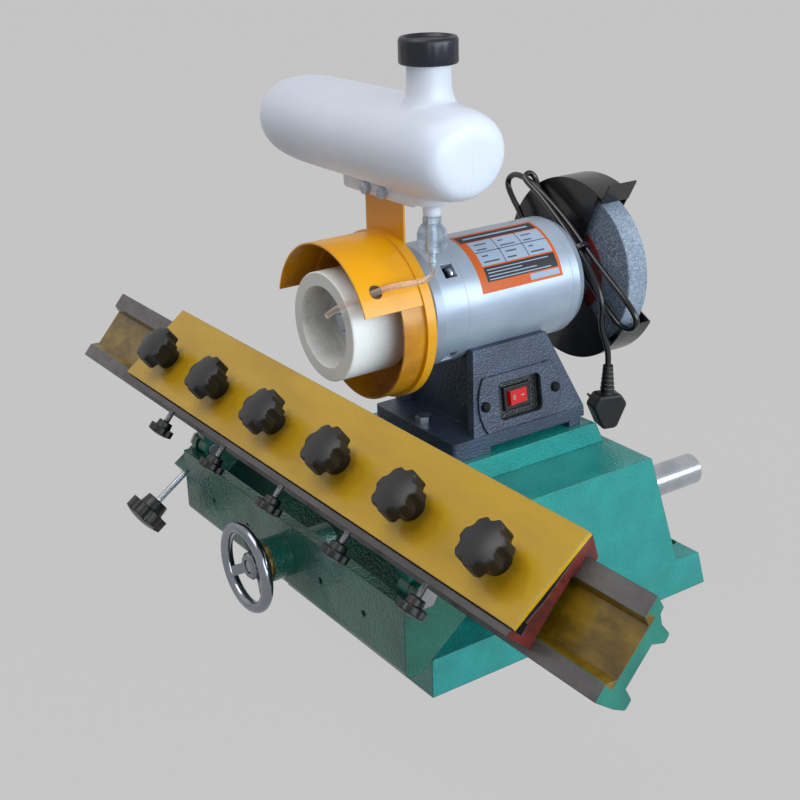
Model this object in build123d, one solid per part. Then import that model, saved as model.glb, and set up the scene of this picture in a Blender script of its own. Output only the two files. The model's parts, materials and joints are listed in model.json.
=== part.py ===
from build123d import *
import math
import os

os.makedirs("parts", exist_ok=True)

# Wet grinding sharpener for planer knives, in millimetres.
# X runs along the beam, the operator stands at -Y, Z is up, and the origin is the middle of the
# base's footprint on the bench.

# ---------------------------------------------------------------- fits
slide_gap = 0.05  # between flat faces that slide
running_gap = 0.05  # radial, between a bore and what turns or slides in it
press_gap = 0.01  # radial, between pieces pressed or screwed together
bolt_gap = 0.4  # radial, between a bolt and its clearance hole
sheet = 1.5  # guard sheet

# ---------------------------------------------------------------- base casting
base_width = 242.8
foot_front = -163.5
foot_rear = 164.0
foot_height = 37.0
foot_rear_slant = 11.0
body_height = 155.5
body_front_low = -84.0
body_front_high = -64.0
body_rear_low = 123.8
body_rear_high = 83.8
base_wall = 12.0
base_bolt_inset = 30.4
base_bolt_x = base_width / 2 - base_bolt_inset
base_bolt_y = 146.0
base_bolt_radius = 5.5
base_bolt_boss = 13.0

# ---------------------------------------------------------------- feed: bars, screw, handwheel
bar_radius = 15.0
slide_bush_wall = 3.0
slide_bush_radius = bar_radius + slide_bush_wall
bracket_boss_wall = 4.0
bracket_boss_radius = slide_bush_radius + bracket_boss_wall
bracket_side_gap = 2.4  # between the bracket's boss and the casting's wall
bar_inset = base_wall + bracket_boss_radius + bracket_side_gap
bar_spacing = base_width - 2 * bar_inset
feed_height = 105.5
screw_rise = 3.0  # above the bars
screw_height = feed_height + screw_rise
bar_front = -70.0
bar_rear = 176.0
bar_boss_wall = 8.0
bar_boss_radius = bar_radius + bar_boss_wall
bar_boss_length = 10.0
screw_radius = 8.0
screw_rear = 62.0
screw_nose_step = 2.0
screw_nose_radius = screw_radius - screw_nose_step
bush_wall = 4.0
bush_radius = screw_radius + bush_wall
panel_boss_wall = 7.0
panel_boss_radius = bush_radius + panel_boss_wall
panel_boss_length = 18.0
bush_flange_lip = 4.0
bush_flange_radius = bush_radius + bush_flange_lip
bush_flange = 2.0
handwheel_radius = 40.5
handwheel_rim = 5.2
handwheel_hub_wall = 6.0
handwheel_hub_radius = screw_nose_radius + handwheel_hub_wall
handwheel_hub_length = 14.0
handwheel_hub_set = 8.0  # the hub's middle behind the rim's
handwheel_spokes = 3
handwheel_spoke_half = 4.5
handwheel_gap = 0.7  # between the hub and the bush
feed_forward = 20.0
feed_back = 30.0

# ---------------------------------------------------------------- front trough
trough_width = 368.0
trough_end_wall = 8.0
panel_face = -233.3
panel_thickness = 10.0
panel_top = 143.0
panel_bottom = 79.6
panel_bottom_depth = 15.3
floor_rise = 38.8  # degrees
floor_thickness = 9.0
shelf_thickness = 9.0
shelf_inset = 17.4  # from the base's side
shelf_width = base_width - 2 * shelf_inset
flange_thickness = 14.0
flange_bottom = 60.0
trough_rib_x = 62.0
trough_rib_thickness = 9.0
panel_hole_x = (62.0, 127.0)
panel_hole_z = 111.0
panel_hole_radius = 3.0
boss_front = panel_face - panel_boss_length - bush_flange
handwheel_plane = boss_front - handwheel_gap - handwheel_hub_length / 2 - handwheel_hub_set

# ---------------------------------------------------------------- beam on its pivots
pivot_y = -214.5
pivot_z = 147.0
pivot_bolt_radius = 5.0
ear_radius = 10.0
beam_lug_thickness = 14.0
beam_lug_radius = 8.5
beam_lug_gap = 2.0  # between beam lug and trough end wall
beam_length = 800.0
beam_slope = 48.8  # degrees
rail_pitch_y = -214.5
rail_pitch_z = 209.0
rail_outer = 38.3
rail_upper_inner = 22.5
rail_lower_inner = 25.3
channel_half = 19.4
channel_depth = 7.5
lobe_radius = 2.5
tilt_screw_x = -195.0
tilt_screw_radius = 3.0
tilt_screw_rise = 34.8  # degrees
tilt_knob_y = -270.5
tilt_knob_z = 85.0
tilt_screw_lead = 86.0  # from the knob's middle to the screw's tip
tilt_lug_back = 24.0  # from the screw's tip back to the lug's middle
tilt_lug_width = 20.0
tilt_lug_length = 24.0
tilt_tip_gap = 0.3
tilt_arm_thickness = 10.0
tilt_knob_radius = 21.0
tilt_knob_height = 26.0

# ---------------------------------------------------------------- knife carriage
carriage_length = 592.0
carriage_middle = 39.0
lip_set_back = 4.7  # behind the rail's outer edge
lip_outer = lip_set_back - rail_outer
lip_thickness = 5.3
lip_inner = lip_outer + lip_thickness
hook_gap = 0.4  # beside the rail's upper edge
hook_width = 3.6
hook_reach = 10.2
carriage_back = 13.7  # behind the rail's upper edge
plate_seat_drop = 3.7  # hollow under the plate at the studs
lip_height = 28.2
relief = 2.5
plate_front_u = -27.1
plate_front_n = 26.6
plate_slope = 11.6  # degrees between clamp plate and rails
plate_width = 81.4
plate_thickness = 4.0
knob_count = 6
knob_pitch = 100.0
stud_radius = 4.0
stud_station = 32.3  # from the plate's front edge, along the plate
stud_depth = 7.0  # into the carriage
stud_stand = 19.0  # above the plate
knob_radius = 19.5
knob_height = 29.0
push_height = 18.3
push_radius = 2.5
push_tip = -26.0
push_knob_face = -46.0
push_knob_radius = 12.0
push_knob_height = 14.0

# ---------------------------------------------------------------- saddle and pedestal
saddle_width = 134.0
saddle_thickness = 21.2
saddle_top = body_height + saddle_thickness
saddle_front = -100.0
saddle_rear_low = 75.5
saddle_rear_high = 65.0
neck_width = 40.0
neck_depth = 36.0
bracket_height = 24.0
feed_nut_wall = 7.0
feed_nut_radius = screw_radius + feed_nut_wall
nut_boss_radius = feed_nut_radius + bracket_boss_wall
neck_stand = 0.5  # above the nut's boss
neck_bottom = screw_height + nut_boss_radius + neck_stand
pedestal_foot_width = 122.0
pedestal_foot_front = -93.5
pedestal_foot_rear = 53.5
pedestal_foot_height = 17.8
pedestal_foot_top = saddle_top + pedestal_foot_height
pedestal_arch_front = -53.0
pedestal_arch_rear = 38.0
pedestal_arch_height = 6.0
pedestal_column = 75.5
pedestal_top = pedestal_foot_top + pedestal_column
pedestal_top_width = 96.0
pedestal_front_low = -71.0
pedestal_front_high = -62.5
pedestal_rear_low = 55.5
pedestal_rear_high = 19.5
pedestal_wall = 8.0
pedestal_recess = 9.0
pedestal_floor = 6.0
foot_bolt_y = (-81.5, 20.0)
foot_bolt_radius = 4.0

# ---------------------------------------------------------------- switch
cover_y = -17.5
cover_rise = 25.5  # above the pedestal's foot
cover_z = pedestal_foot_top + cover_rise
cover_radius = 46.0
cover_height = 50.0
cover_thickness = 2.5
cover_screw_reach = 39.5
recess_length = 54.0
recess_height = 40.0
recess_depth = 7.0
recess_corner = 7.0
recess_play = 2.0  # both sides together, between the tray and its opening
tray_wall = 2.0
bezel_length = 30.0
bezel_height = 22.0
bezel_stand = 3.0
bezel_body_depth = 14.0
bezel_lip = 1.0
rocker_length = 21.0
rocker_height = 13.0
rocker_throw = 16.0  # degrees
rocker_pin_radius = 1.2
rocker_pin_depth = 3.0  # below the frame's face
rocker_pin_stand = 1.0  # into the switch body, each side
rocker_side_gap = 0.2

# ---------------------------------------------------------------- grinder motor
# Stations along the spindle are positive towards the wet wheel, from the pedestal's Y = 0.
motor_rise = 35.0  # above the pedestal's cradle
motor_z = pedestal_top + motor_rise
shell_radius = 54.0
shell_wall = 3.0
shell_front = 70.0
shell_rear = -46.0
bell_front_end = 117.5
bell_front_hub = 30.0
bell_rear_face = -68.0
bell_rear_end = -87.0
bell_neck_radius = 18.0
bell_spigot = 8.0
bell_wall = 7.0
bearing_radius = 17.5
bearing_width = 11.0
front_bearing = 92.0
rear_bearing = -65.0
spindle_radius = 8.0
stator_bore = 31.0
stator_front = 50.0
stator_rear = -30.0
rotor_gap = 0.6
screw_notch = 12.0
screw_inset = 6.5
screw_circle = shell_radius - screw_inset
case_screw_radius = 2.5
case_screw_head = 4.5

# ---------------------------------------------------------------- wheels
cup_radius = 46.5
cup_mouth_radius = 35.0
cup_stand = 8.5  # before the bell's hub
cup_back = bell_front_end + cup_stand
cup_length = 55.5
cup_front = cup_back + cup_length
cup_floor = 24.0
dry_radius = 76.0
dry_stand = 5.0  # behind the bell's neck
dry_near = bell_rear_end - dry_stand
dry_width = 23.0
dry_far = dry_near - dry_width
cup_flange_radius = 16.0
dry_flange_radius = 28.0
flange_gap = 0.4
outer_flange = 3.0
nut_flats = 19.0
cup_nut = 8.0
dry_nut = 6.5
spindle_nose = 3.0

# ---------------------------------------------------------------- wet guard, bracket, tank
hood_radius = 71.0
hood_overhang = 1.0
hood_front = cup_front + hood_overhang
hood_start = 20.0  # degrees, near side
hood_end = 166.0  # degrees, far side
band_length = 30.0
band_front = bell_front_end + band_length
cap_lap = 1.5
cap_radius = hood_radius + cap_lap
cap_length = 9.0
cap_front = bell_front_end + cap_length
hose_hole_angle = 35.7
hose_hole_set = 16.5  # behind the hood's front
hose_hole_station = hood_front - hose_hole_set
hose_hole_radius = 6.0
bracket_width = 55.0
bracket_thickness = 2.0
bracket_foot = 40.0  # above the spindle
bracket_bottom = motor_z + bracket_foot
bracket_top_gap = 0.6
guard_screw_circle = 22.0
guard_screw_radius = 2.5
tank_left = -139.0
tank_right = 125.0
tank_y = -120.5
tank_rise = 114.0  # above the spindle
tank_low = motor_z + tank_rise
tank_height = 74.0
tank_high = tank_low + tank_height
bracket_top = tank_low - bracket_top_gap
tank_depth = 99.0
tank_edge = 36.0
tank_end = 33.0
tank_wall = 3.0
tank_neck_x = 71.0
tank_neck_radius = 17.5
tank_neck_length = 28.0
tank_neck_top = tank_high + tank_neck_length
tank_rib_width = 104.0
tank_rib_thickness = 8.0
tank_rib_drop = 14.0
tank_rib_bottom = tank_low - tank_rib_drop
tank_bolt_x = 12.0
tank_bolt_drop = 7.0
tank_bolt_z = tank_low - tank_bolt_drop
tank_bolt_radius = 3.0
cap_height = 20.0
cap_wall = 5.5
cap_outer = tank_neck_radius + cap_wall
spout_x = 72.0
spout_radius = 8.0
spout_length = 16.0
spout_bottom = tank_low - spout_length
cock_bore = 4.5
cock_hex = 13.0
cock_hex_height = 5.0
cock_stem = 3.0
cock_length = 42.0
cock_tip = spout_bottom - cock_length
barb_radius = 3.4
wing_width = 25.0
wing_height = 25.0
wing_thickness = 3.0

# ---------------------------------------------------------------- dry guard
guard_clearance = 9.0
guard_radius = dry_radius + guard_clearance
guard_near = bell_rear_end
guard_far_gap = 6.6
guard_far = dry_far - guard_far_gap
guard_hole_gap = 0.6
guard_neck_hole = spindle_radius + guard_hole_gap
guard_mouth_top = 60.0  # degrees
guard_mouth_bottom = -28.0  # degrees
guard_dome_radius = 26.0
guard_dome_depth = 9.0
spark_clearance = 3.5
spark_inner = dry_radius + spark_clearance
spark_stand = 15.0
spark_outer = guard_radius + spark_stand

# ---------------------------------------------------------------- cord and hose
cord_radius = 2.8
gland_y = -5.0
gland_rise = 17.5  # above the pedestal's foot
gland_z = pedestal_foot_top + gland_rise
gland_radius = 6.0
gland_flange_radius = 9.0
gland_flange = 3.0
gland_taper = 24.0
plug_facing = -17.0  # degrees, direction of the plug's back, from +X towards +Y
plug_width = 34.0
plug_height = 33.0
plug_thickness = 17.0
boot_length = 27.0
hose_radius = 2.5


# ================================================================ helpers
def outline_face(points):
    """Flat face inside straight edges through the points."""
    return make_face(Polyline(*points, close=True))


def across(points, x_from, x_to):
    """Solid with a (y, z) outline between two stations on X."""
    section = Pos(x_from, 0, 0) * (Plane.YZ * outline_face(points))
    return extrude(section, amount=x_to - x_from, dir=(1, 0, 0))


def turned(points, frame=Plane.XY):
    """Solid of revolution about the frame's Z axis, from a (radius, height) outline."""
    return frame * revolve(Plane.XZ * outline_face(points), axis=Axis.Z)


def rod(radius, low, high, frame=Plane.XY):
    """Round bar on the frame's Z axis between two heights."""
    return frame * Pos(0, 0, (low + high) / 2) * Cylinder(radius, high - low)


def tube(outer, inner, low, high, frame=Plane.XY):
    """Hollow round bar on the frame's Z axis."""
    return rod(outer, low, high, frame) - rod(inner, low - 1, high + 1, frame)


def block(x_from, x_to, y_from, y_to, z_from, z_to):
    """Box between three pairs of stations."""
    size = (x_to - x_from, y_to - y_from, z_to - z_from)
    middle = ((x_from + x_to) / 2, (y_from + y_to) / 2, (z_from + z_to) / 2)
    return Pos(*middle) * Box(*size)


def spindle(station=0.0, x=0.0, z=motor_z):
    """Plane square to the spindle: its Z points to the wet wheel, its Y up."""
    return Plane(origin=(x, -station, z), x_dir=(1, 0, 0), z_dir=(0, -1, 0))


def polar(radius, degrees):
    """Point at a radius and an angle."""
    angle = math.radians(degrees)
    return (radius * math.cos(angle), radius * math.sin(angle))


def sector(radius, start, end, low, high, frame):
    """Wedge of a disc between two angles, to cut or keep part of a round piece."""
    steps = max(2, math.ceil(abs(end - start) / 60) + 1)
    reach = radius / math.cos(math.radians(abs(end - start) / (steps - 1) / 2))
    corners = [(0, 0)]
    for step in range(steps):
        corners.append(polar(reach, start + (end - start) * step / (steps - 1)))
    wedge = Pos(0, 0, low) * outline_face(corners)
    return frame * extrude(wedge, amount=high - low, dir=(0, 0, 1))


def hex_bolt(radius, flats, head, length, frame):
    """Bolt with its head's seat on the frame and its shank along -Z."""
    top = extrude(RegularPolygon(flats / 2, 6, major_radius=False), amount=head)
    return frame * (top + rod(radius, -length, 0))


def pan_screw(radius, head_radius, head, length, frame):
    """Round-headed screw with its head's seat on the frame and its shank along -Z."""
    corner = head * 0.4
    profile = [(0, -length), (radius, -length), (radius, 0), (head_radius, 0)]
    profile += [(head_radius, head - corner), (head_radius - corner, head), (0, head)]
    return turned(profile, frame)


def star_head(radius, low, high, lobes):
    """Lobed hand grip with a rounded top edge, its axis on Z."""
    notch = radius * 0.25
    star = Circle(radius)
    for location in PolarLocations(radius * 1.08, lobes):
        star -= location * Circle(notch)
    star = fillet(star.vertices(), radius * 0.14)
    head = extrude(Pos(0, 0, low) * star, amount=high - low)
    dome_radius = radius * 3.0
    dome = Pos(0, 0, high - dome_radius) * Sphere(dome_radius)
    head = head & dome
    return head


def star_knob(radius, height, lobes, bore, bore_depth):
    """Star knob standing on Z = 0: a hub, a wider lobed head and a blind bore from below."""
    hub_height = height * 0.42
    hub = turned([(0, 0), (radius * 0.55, 0), (radius * 0.62, hub_height), (0, hub_height)])
    knob = hub + star_head(radius, hub_height, height, lobes)
    return knob - rod(bore, -1, bore_depth)


def save(name, shape):
    """Write one node's STEP file."""
    shape.label = name
    export_step(shape, f"parts/{name}.step")


def group(solids):
    """Several separate solids kept as one node."""
    return Compound(children=list(solids))


# ================================================================ base
def base_outline(drop):
    """Side view of the base, its underside lowered by the drop."""
    return [
        (foot_front, -drop),
        (foot_rear, -drop),
        (foot_rear, 0),
        (foot_rear - foot_rear_slant, foot_height),
        (body_rear_low, foot_height),
        (body_rear_high, body_height),
        (body_front_high, body_height),
        (body_front_low, foot_height),
        (foot_front, foot_height),
    ]


def body_front_at(z):
    """Y of the body's sloping front face at a height."""
    share = (z - foot_height) / (body_height - foot_height)
    return body_front_low + share * (body_front_high - body_front_low)


def body_rear_at(z):
    """Y of the body's sloping rear face at a height."""
    share = (z - foot_height) / (body_height - foot_height)
    return body_rear_low + share * (body_rear_high - body_rear_low)


def make_base_casting():
    """Hollow casting, open below: feet, sloping body, bar bosses and the slot for the neck."""
    half = base_width / 2
    outer_points = base_outline(0)[:2] + base_outline(0)[3:]
    outer = across(outer_points, -half, half)
    outer = fillet(outer.edges().filter_by(Axis.X).filter_by(lambda e: e.center().Z > 1), 3)
    shell = offset(outline_face(base_outline(base_wall + 2)), -base_wall, kind=Kind.INTERSECTION)
    room = Pos(-half + base_wall, 0, 0) * (Plane.YZ * shell)
    casting = outer - extrude(room, amount=base_width - 2 * base_wall, dir=(1, 0, 0))
    for x in (-base_bolt_x, base_bolt_x):
        for y in (-base_bolt_y, base_bolt_y):
            casting += Pos(x, y, 0) * rod(base_bolt_boss, 0, foot_height - 3) & outer
    bars = bar_spacing / 2
    for x in (-bars, bars):
        axis = spindle(0, x, feed_height)
        front_wall = -body_front_at(feed_height) - base_wall
        rear_wall = -body_rear_at(feed_height) + base_wall
        casting += rod(bar_boss_radius, front_wall - bar_boss_length, front_wall + 6, axis) & outer
        casting += rod(bar_boss_radius, rear_wall - 6, rear_wall + bar_boss_length, axis) & outer
        casting -= rod(bar_radius + press_gap, -bar_rear, -bar_front, axis)
    casting -= rod(screw_radius + 1, 0, -foot_front, spindle(0, 0, screw_height))
    slot_side = neck_width / 2 + 3
    slot_front = -neck_depth / 2 - feed_forward - 3
    slot_rear = neck_depth / 2 + feed_back + 3
    casting -= block(-slot_side, slot_side, slot_front, slot_rear, feed_height, body_height + 1)
    for x in (-base_bolt_x, base_bolt_x):
        for y in (-base_bolt_y, base_bolt_y):
            casting -= Pos(x, y, 0) * rod(base_bolt_radius, -1, foot_height + 1)
    return casting


# ================================================================ trough
def floor_under_at(y):
    """Height of the sloping floor's underside."""
    run = y - (panel_face + panel_bottom_depth)
    return panel_bottom + run * math.tan(math.radians(floor_rise))


def floor_under_y(z):
    """Y where the sloping floor's underside reaches a height."""
    rise = z - panel_bottom
    return panel_face + panel_bottom_depth + rise / math.tan(math.radians(floor_rise))


def make_front_trough():
    """Trough casting: front panel, sloping floor, end walls with ears, shelf and flange."""
    half = trough_width / 2
    inner_half = half - trough_end_wall
    panel_back = panel_face + panel_thickness
    lift = floor_thickness / math.cos(math.radians(floor_rise))
    outer = across(
        [
            (panel_face, panel_bottom),
            (panel_face, panel_top),
            (floor_under_y(panel_top), panel_top),
            (panel_face + panel_bottom_depth, panel_bottom),
        ],
        -half,
        half,
    )
    low_front = outer.edges().filter_by(Axis.X).sort_by(lambda e: e.center().Y + e.center().Z)
    outer = fillet(low_front[0], 6)
    room = across(
        [
            (panel_back, floor_under_at(panel_back) + lift),
            (panel_back, panel_top + 1),
            (floor_under_y(panel_top + 1 - lift), panel_top + 1),
        ],
        -inner_half,
        inner_half,
    )
    trough = outer - room
    pivot_axis = Plane(origin=(0, pivot_y, pivot_z), x_dir=(0, 1, 0), z_dir=(1, 0, 0))
    for side in (-1, 1):
        stations = sorted((side * inner_half, side * half))
        trough += rod(ear_radius, stations[0], stations[1], pivot_axis)
        trough += block(
            stations[0], stations[1], pivot_y - ear_radius, pivot_y + ear_radius, panel_top - 4, pivot_z
        )
    trough -= rod(pivot_bolt_radius + running_gap, -half - 1, half + 1, pivot_axis)
    shelf_half = shelf_width / 2
    shelf_low = panel_top - shelf_thickness
    trough += across(
        [
            (floor_under_y(shelf_low) - 2, shelf_low),
            (floor_under_y(panel_top) - 2, panel_top),
            (body_front_at(panel_top), panel_top),
            (body_front_at(flange_bottom), flange_bottom),
            (body_front_at(flange_bottom) - flange_thickness, flange_bottom),
            (body_front_at(shelf_low) - flange_thickness, shelf_low),
        ],
        -shelf_half,
        shelf_half,
    )
    rib_toe = floor_under_y(panel_bottom + 26)
    for x in (-trough_rib_x, trough_rib_x):
        trough += across(
            [
                (rib_toe, floor_under_at(rib_toe) + 3),
                (floor_under_y(shelf_low), shelf_low + 3),
                (body_front_at(shelf_low) - 4, shelf_low + 3),
                (body_front_at(flange_bottom) - 4, flange_bottom + 4),
            ],
            x - trough_rib_thickness / 2,
            x + trough_rib_thickness / 2,
        )
    feed_axis = spindle(0, 0, screw_height)
    tunnel_end = -floor_under_y(screw_height)
    trough += rod(panel_boss_radius, -panel_face - 2, -panel_face + panel_boss_length, feed_axis)
    trough += rod(bush_flange_radius, tunnel_end + 4, -panel_back + 1, feed_axis) & (outer + room)
    trough -= rod(screw_radius + 1, 0, -panel_face + 1, feed_axis)
    bush_start = -panel_face - panel_thickness
    trough -= rod(bush_radius + press_gap, bush_start, -panel_face + 60, feed_axis)
    for distance in panel_hole_x:
        for x in (-distance, distance):
            hole_axis = spindle(0, x, panel_hole_z)
            trough -= rod(panel_hole_radius, -panel_back - 1, -panel_face + 1, hole_axis)
    axis = tilt_screw_axis()
    lug_inside = -tilt_screw_x - half + trough_end_wall / 2
    lug = Pos((tilt_lug_width / 2 - lug_inside) / 2, 0, tilt_screw_lead - tilt_lug_back)
    trough += axis * lug * Box(tilt_lug_width / 2 + lug_inside, tilt_lug_width, tilt_lug_length)
    trough -= rod(tilt_screw_radius + running_gap, 0, tilt_screw_lead, axis)
    return trough


def tilt_screw_axis():
    """Frame on the tilt screw: origin in the knob's middle, Z along the screw to its tip."""
    rise = math.radians(tilt_screw_rise)
    direction = (0, math.cos(rise), math.sin(rise))
    return Plane(origin=(tilt_screw_x, tilt_knob_y, tilt_knob_z), x_dir=(-1, 0, 0), z_dir=direction)


def make_screw_bush():
    """Flanged bush in the panel's boss, for the lead screw."""
    front = -panel_face + panel_boss_length
    axis = spindle(0, 0, screw_height)
    bush = rod(bush_radius, -panel_face - panel_thickness, front, axis)
    bush += rod(bush_flange_radius, front, front + bush_flange, axis)
    return bush - rod(screw_radius + running_gap, 0, front + 10, axis)


def make_guide_bars():
    """Two round bars that guide the saddle."""
    bars = []
    for x in (-bar_spacing / 2, bar_spacing / 2):
        bar = rod(bar_radius, -bar_rear, -bar_front, spindle(0, x, feed_height))
        bars.append(chamfer(bar.edges(), 1.5))
    return group(bars)


def make_lead_screw():
    """Feed screw with a plain nose that carries the handwheel."""
    hub_back = -handwheel_plane - handwheel_hub_set - handwheel_hub_length / 2
    nose_end = hub_back + handwheel_hub_length - 1
    profile = [
        (0, -screw_rear),
        (screw_radius - 1.5, -screw_rear),
        (screw_radius, -screw_rear + 1.5),
        (screw_radius, hub_back),
        (screw_nose_radius, hub_back),
        (screw_nose_radius, nose_end - 1),
        (screw_nose_radius - 1, nose_end),
        (0, nose_end),
    ]
    return turned(profile, spindle(0, 0, screw_height))


def make_handwheel():
    """Dished handwheel: round rim, flat spokes and a bored hub."""
    axis = spindle(-handwheel_plane, 0, screw_height)
    rim_middle = handwheel_radius - handwheel_rim
    rim = Torus(rim_middle, handwheel_rim)
    half = handwheel_hub_length / 2
    hub = turned(
        [
            (0, -half),
            (handwheel_hub_radius, -half),
            (handwheel_hub_radius, half - 2),
            (handwheel_hub_radius - 2, half),
            (0, half),
        ],
        Plane.XY.offset(-handwheel_hub_set),
    )
    spoke_profile = [(0, -13), (handwheel_hub_radius, -13), (rim_middle, -2.5), (rim_middle, 2.5)]
    spoke_profile += [(handwheel_hub_radius, -5), (0, -5)]
    spoke = extrude(Plane.XZ * outline_face(spoke_profile), amount=handwheel_spoke_half, both=True)
    wheel = rim + hub
    for location in PolarLocations(0, handwheel_spokes, start_angle=90):
        wheel += location * spoke
    wheel -= rod(screw_nose_radius + press_gap, -handwheel_hub_set - half - 1, half + 1)
    return axis * wheel


# ================================================================ beam
def beam_frame(x=0.0):
    """Frame of the rails: local X up the slope, local Y away from the rails, local Z along X."""
    slope = math.radians(beam_slope)
    return Plane(
        origin=(x, rail_pitch_y, rail_pitch_z),
        x_dir=(0, math.cos(slope), math.sin(slope)),
        z_dir=(1, 0, 0),
    )


def along_beam(face, x_from, x_to):
    """Solid with a section in the beam's frame between two stations on X."""
    return extrude(beam_frame(x_from) * face, amount=x_to - x_from, dir=(1, 0, 0))


def in_beam(y, z):
    """Beam-frame coordinates of a point given by y and z."""
    slope = math.radians(beam_slope)
    dy = y - rail_pitch_y
    dz = z - rail_pitch_z
    return (dy * math.cos(slope) + dz * math.sin(slope), -dy * math.sin(slope) + dz * math.cos(slope))


def make_beam():
    """Ground rails over a ribbed channel, with pivot lugs and the tilt arm."""
    foot_lobe = [(-33.5, -30.9), (-25.6, -30.5)]
    head_lobe = [(16.1, -30.5), (22.6, -29.7)]
    section = outline_face(
        [
            (rail_outer, 0),
            (rail_upper_inner, 0),
            (channel_half, -channel_depth),
            (-channel_half, -channel_depth),
            (-rail_lower_inner, 0),
            (-rail_outer, 0),
            (1.8 - rail_outer, -19.2),
            *foot_lobe,
            (-21.5, -19.8),
            (10.7, -19.6),
            *head_lobe,
            (rail_outer - 13.4, -17.9),
            (rail_outer - 8.6, -11.3),
            (rail_outer - 3.7, -10.5),
        ]
    )
    corners = section.vertices().filter_by(lambda v: v.Y < -25)
    section = fillet(corners, lobe_radius)
    beam = along_beam(section, -beam_length / 2, beam_length / 2)
    pivot = in_beam(pivot_y, pivot_z)
    waist = 0.8 * beam_lug_radius
    lug = Pos(*pivot) * Circle(beam_lug_radius)
    lug += outline_face(
        [
            (-36.0, -18),
            (-20.0, -18),
            (-24.0, -32),
            (pivot[0] + waist, pivot[1]),
            (pivot[0], pivot[1] + waist),
        ]
    )
    outside = trough_width / 2 - trough_end_wall - beam_lug_gap
    for side in (-1, 1):
        stations = sorted((side * outside, side * (outside - beam_lug_thickness)))
        beam += along_beam(lug, stations[0], stations[1])
    pad_low = (tilt_screw_axis() * Pos(0, -7, tilt_screw_lead + tilt_tip_gap)).position
    pad_high = (tilt_screw_axis() * Pos(0, 7, tilt_screw_lead + tilt_tip_gap)).position
    pad_back = (tilt_screw_axis() * Pos(0, -7, tilt_screw_lead + 9)).position
    root_low = (beam_frame() * Pos(-20, -18, 0)).position
    root_high = (beam_frame() * Pos(2, -18, 0)).position
    if pad_low.Z > pad_high.Z:
        pad_low, pad_high = pad_high, pad_low
    beam += across(
        [(corner.Y, corner.Z) for corner in (pad_low, pad_high, root_low, root_high, pad_back)],
        tilt_screw_x - tilt_arm_thickness / 2,
        tilt_screw_x + tilt_arm_thickness / 2,
    )
    pivot_axis = Plane(origin=(0, pivot_y, pivot_z), x_dir=(0, 1, 0), z_dir=(1, 0, 0))
    return beam - rod(pivot_bolt_radius + running_gap, -trough_width, trough_width, pivot_axis)


def make_pivot_bolts():
    """Shouldered pivot bolts with hex heads outside the trough's ears."""
    bolts = []
    for side in (-1, 1):
        corner = (side * trough_width / 2, pivot_y, pivot_z)
        seat = Plane(origin=corner, x_dir=(0, 1, 0), z_dir=(side, 0, 0))
        length = trough_end_wall + beam_lug_gap + beam_lug_thickness + 2
        bolts.append(hex_bolt(pivot_bolt_radius, 16, 5, length, seat))
    return group(bolts)


def make_tilt_screw():
    """Plain rod of the tilt adjuster, its rounded tip against the beam's arm."""
    profile = [
        (0, -8),
        (tilt_screw_radius, -8),
        (tilt_screw_radius, tilt_screw_lead - 2.5),
        (tilt_screw_radius - 2.5, tilt_screw_lead),
        (0, tilt_screw_lead),
    ]
    return turned(profile, tilt_screw_axis())


def make_tilt_knob():
    """Large star knob on the tilt screw."""
    half = tilt_knob_height / 2
    depth = half + 8 + 0.3
    knob = star_knob(tilt_knob_radius, tilt_knob_height, 7, tilt_screw_radius + running_gap, depth)
    return tilt_screw_axis() * Pos(0, 0, half) * Rot(180, 0, 0) * knob


# ================================================================ carriage
def plate_frame(x=0.0, height=0.0):
    """Frame on the clamp plate's top front edge: X back along the plate, Y out, Z along X."""
    base = beam_frame(x)
    return base * Pos(plate_front_u, plate_front_n, 0) * Rot(0, 0, -plate_slope) * Pos(0, height, 0)


def carriage_span():
    """First and last station of the carriage on X."""
    return (carriage_middle - carriage_length / 2, carriage_middle + carriage_length / 2)


def make_carriage():
    """Knife carriage: front lip, sloping seat, back hook and the bores for studs and screws."""
    seat_front = plate_under_at(-20) - 3.0
    back = rail_outer + carriage_back
    seat_back = back - 10.0
    section = outline_face(
        [
            (lip_outer, slide_gap),
            (-rail_lower_inner, slide_gap),
            (-rail_lower_inner + 1, relief),
            (rail_upper_inner - 1, relief),
            (rail_upper_inner, slide_gap),
            (rail_outer + hook_gap, slide_gap),
            (rail_outer + hook_gap, -hook_reach),
            (rail_outer + hook_width, -hook_reach),
            (back, plate_under_at(back) - slide_gap),
            (seat_back, plate_under_at(seat_back) - slide_gap),
            (-3.0, 13.4),
            (-20.0, seat_front),
            (-20.0, push_height - push_radius - 0.8),
            (lip_inner, push_height - push_radius - 0.8),
            (lip_inner, lip_height - 1.2),
            (lip_outer, lip_height),
        ]
    )
    first, last = carriage_span()
    carriage = along_beam(section, first, last)
    for x in knob_stations():
        carriage -= rod(stud_radius + press_gap, -40, -stud_seat_drop() + 10, stud_axis(x))
    for x in push_stations():
        carriage -= rod(push_radius + running_gap, lip_outer - 1, lip_inner + 1, push_axis(x))
    return carriage


def plate_under_at(u):
    """Height of the clamp plate's underside above the rails."""
    slope = math.radians(plate_slope)
    drop = plate_thickness / math.cos(slope)
    return plate_front_n - (u - plate_front_u) * math.tan(slope) - drop


def knob_stations():
    """X of the clamp knobs, in a row centred on the carriage."""
    first = carriage_middle - knob_pitch * (knob_count - 1) / 2
    return [first + knob_pitch * index for index in range(knob_count)]


def push_stations():
    """X of the push screws, midway between the clamp knobs."""
    return [x + knob_pitch / 2 for x in knob_stations()[:-1]]


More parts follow.
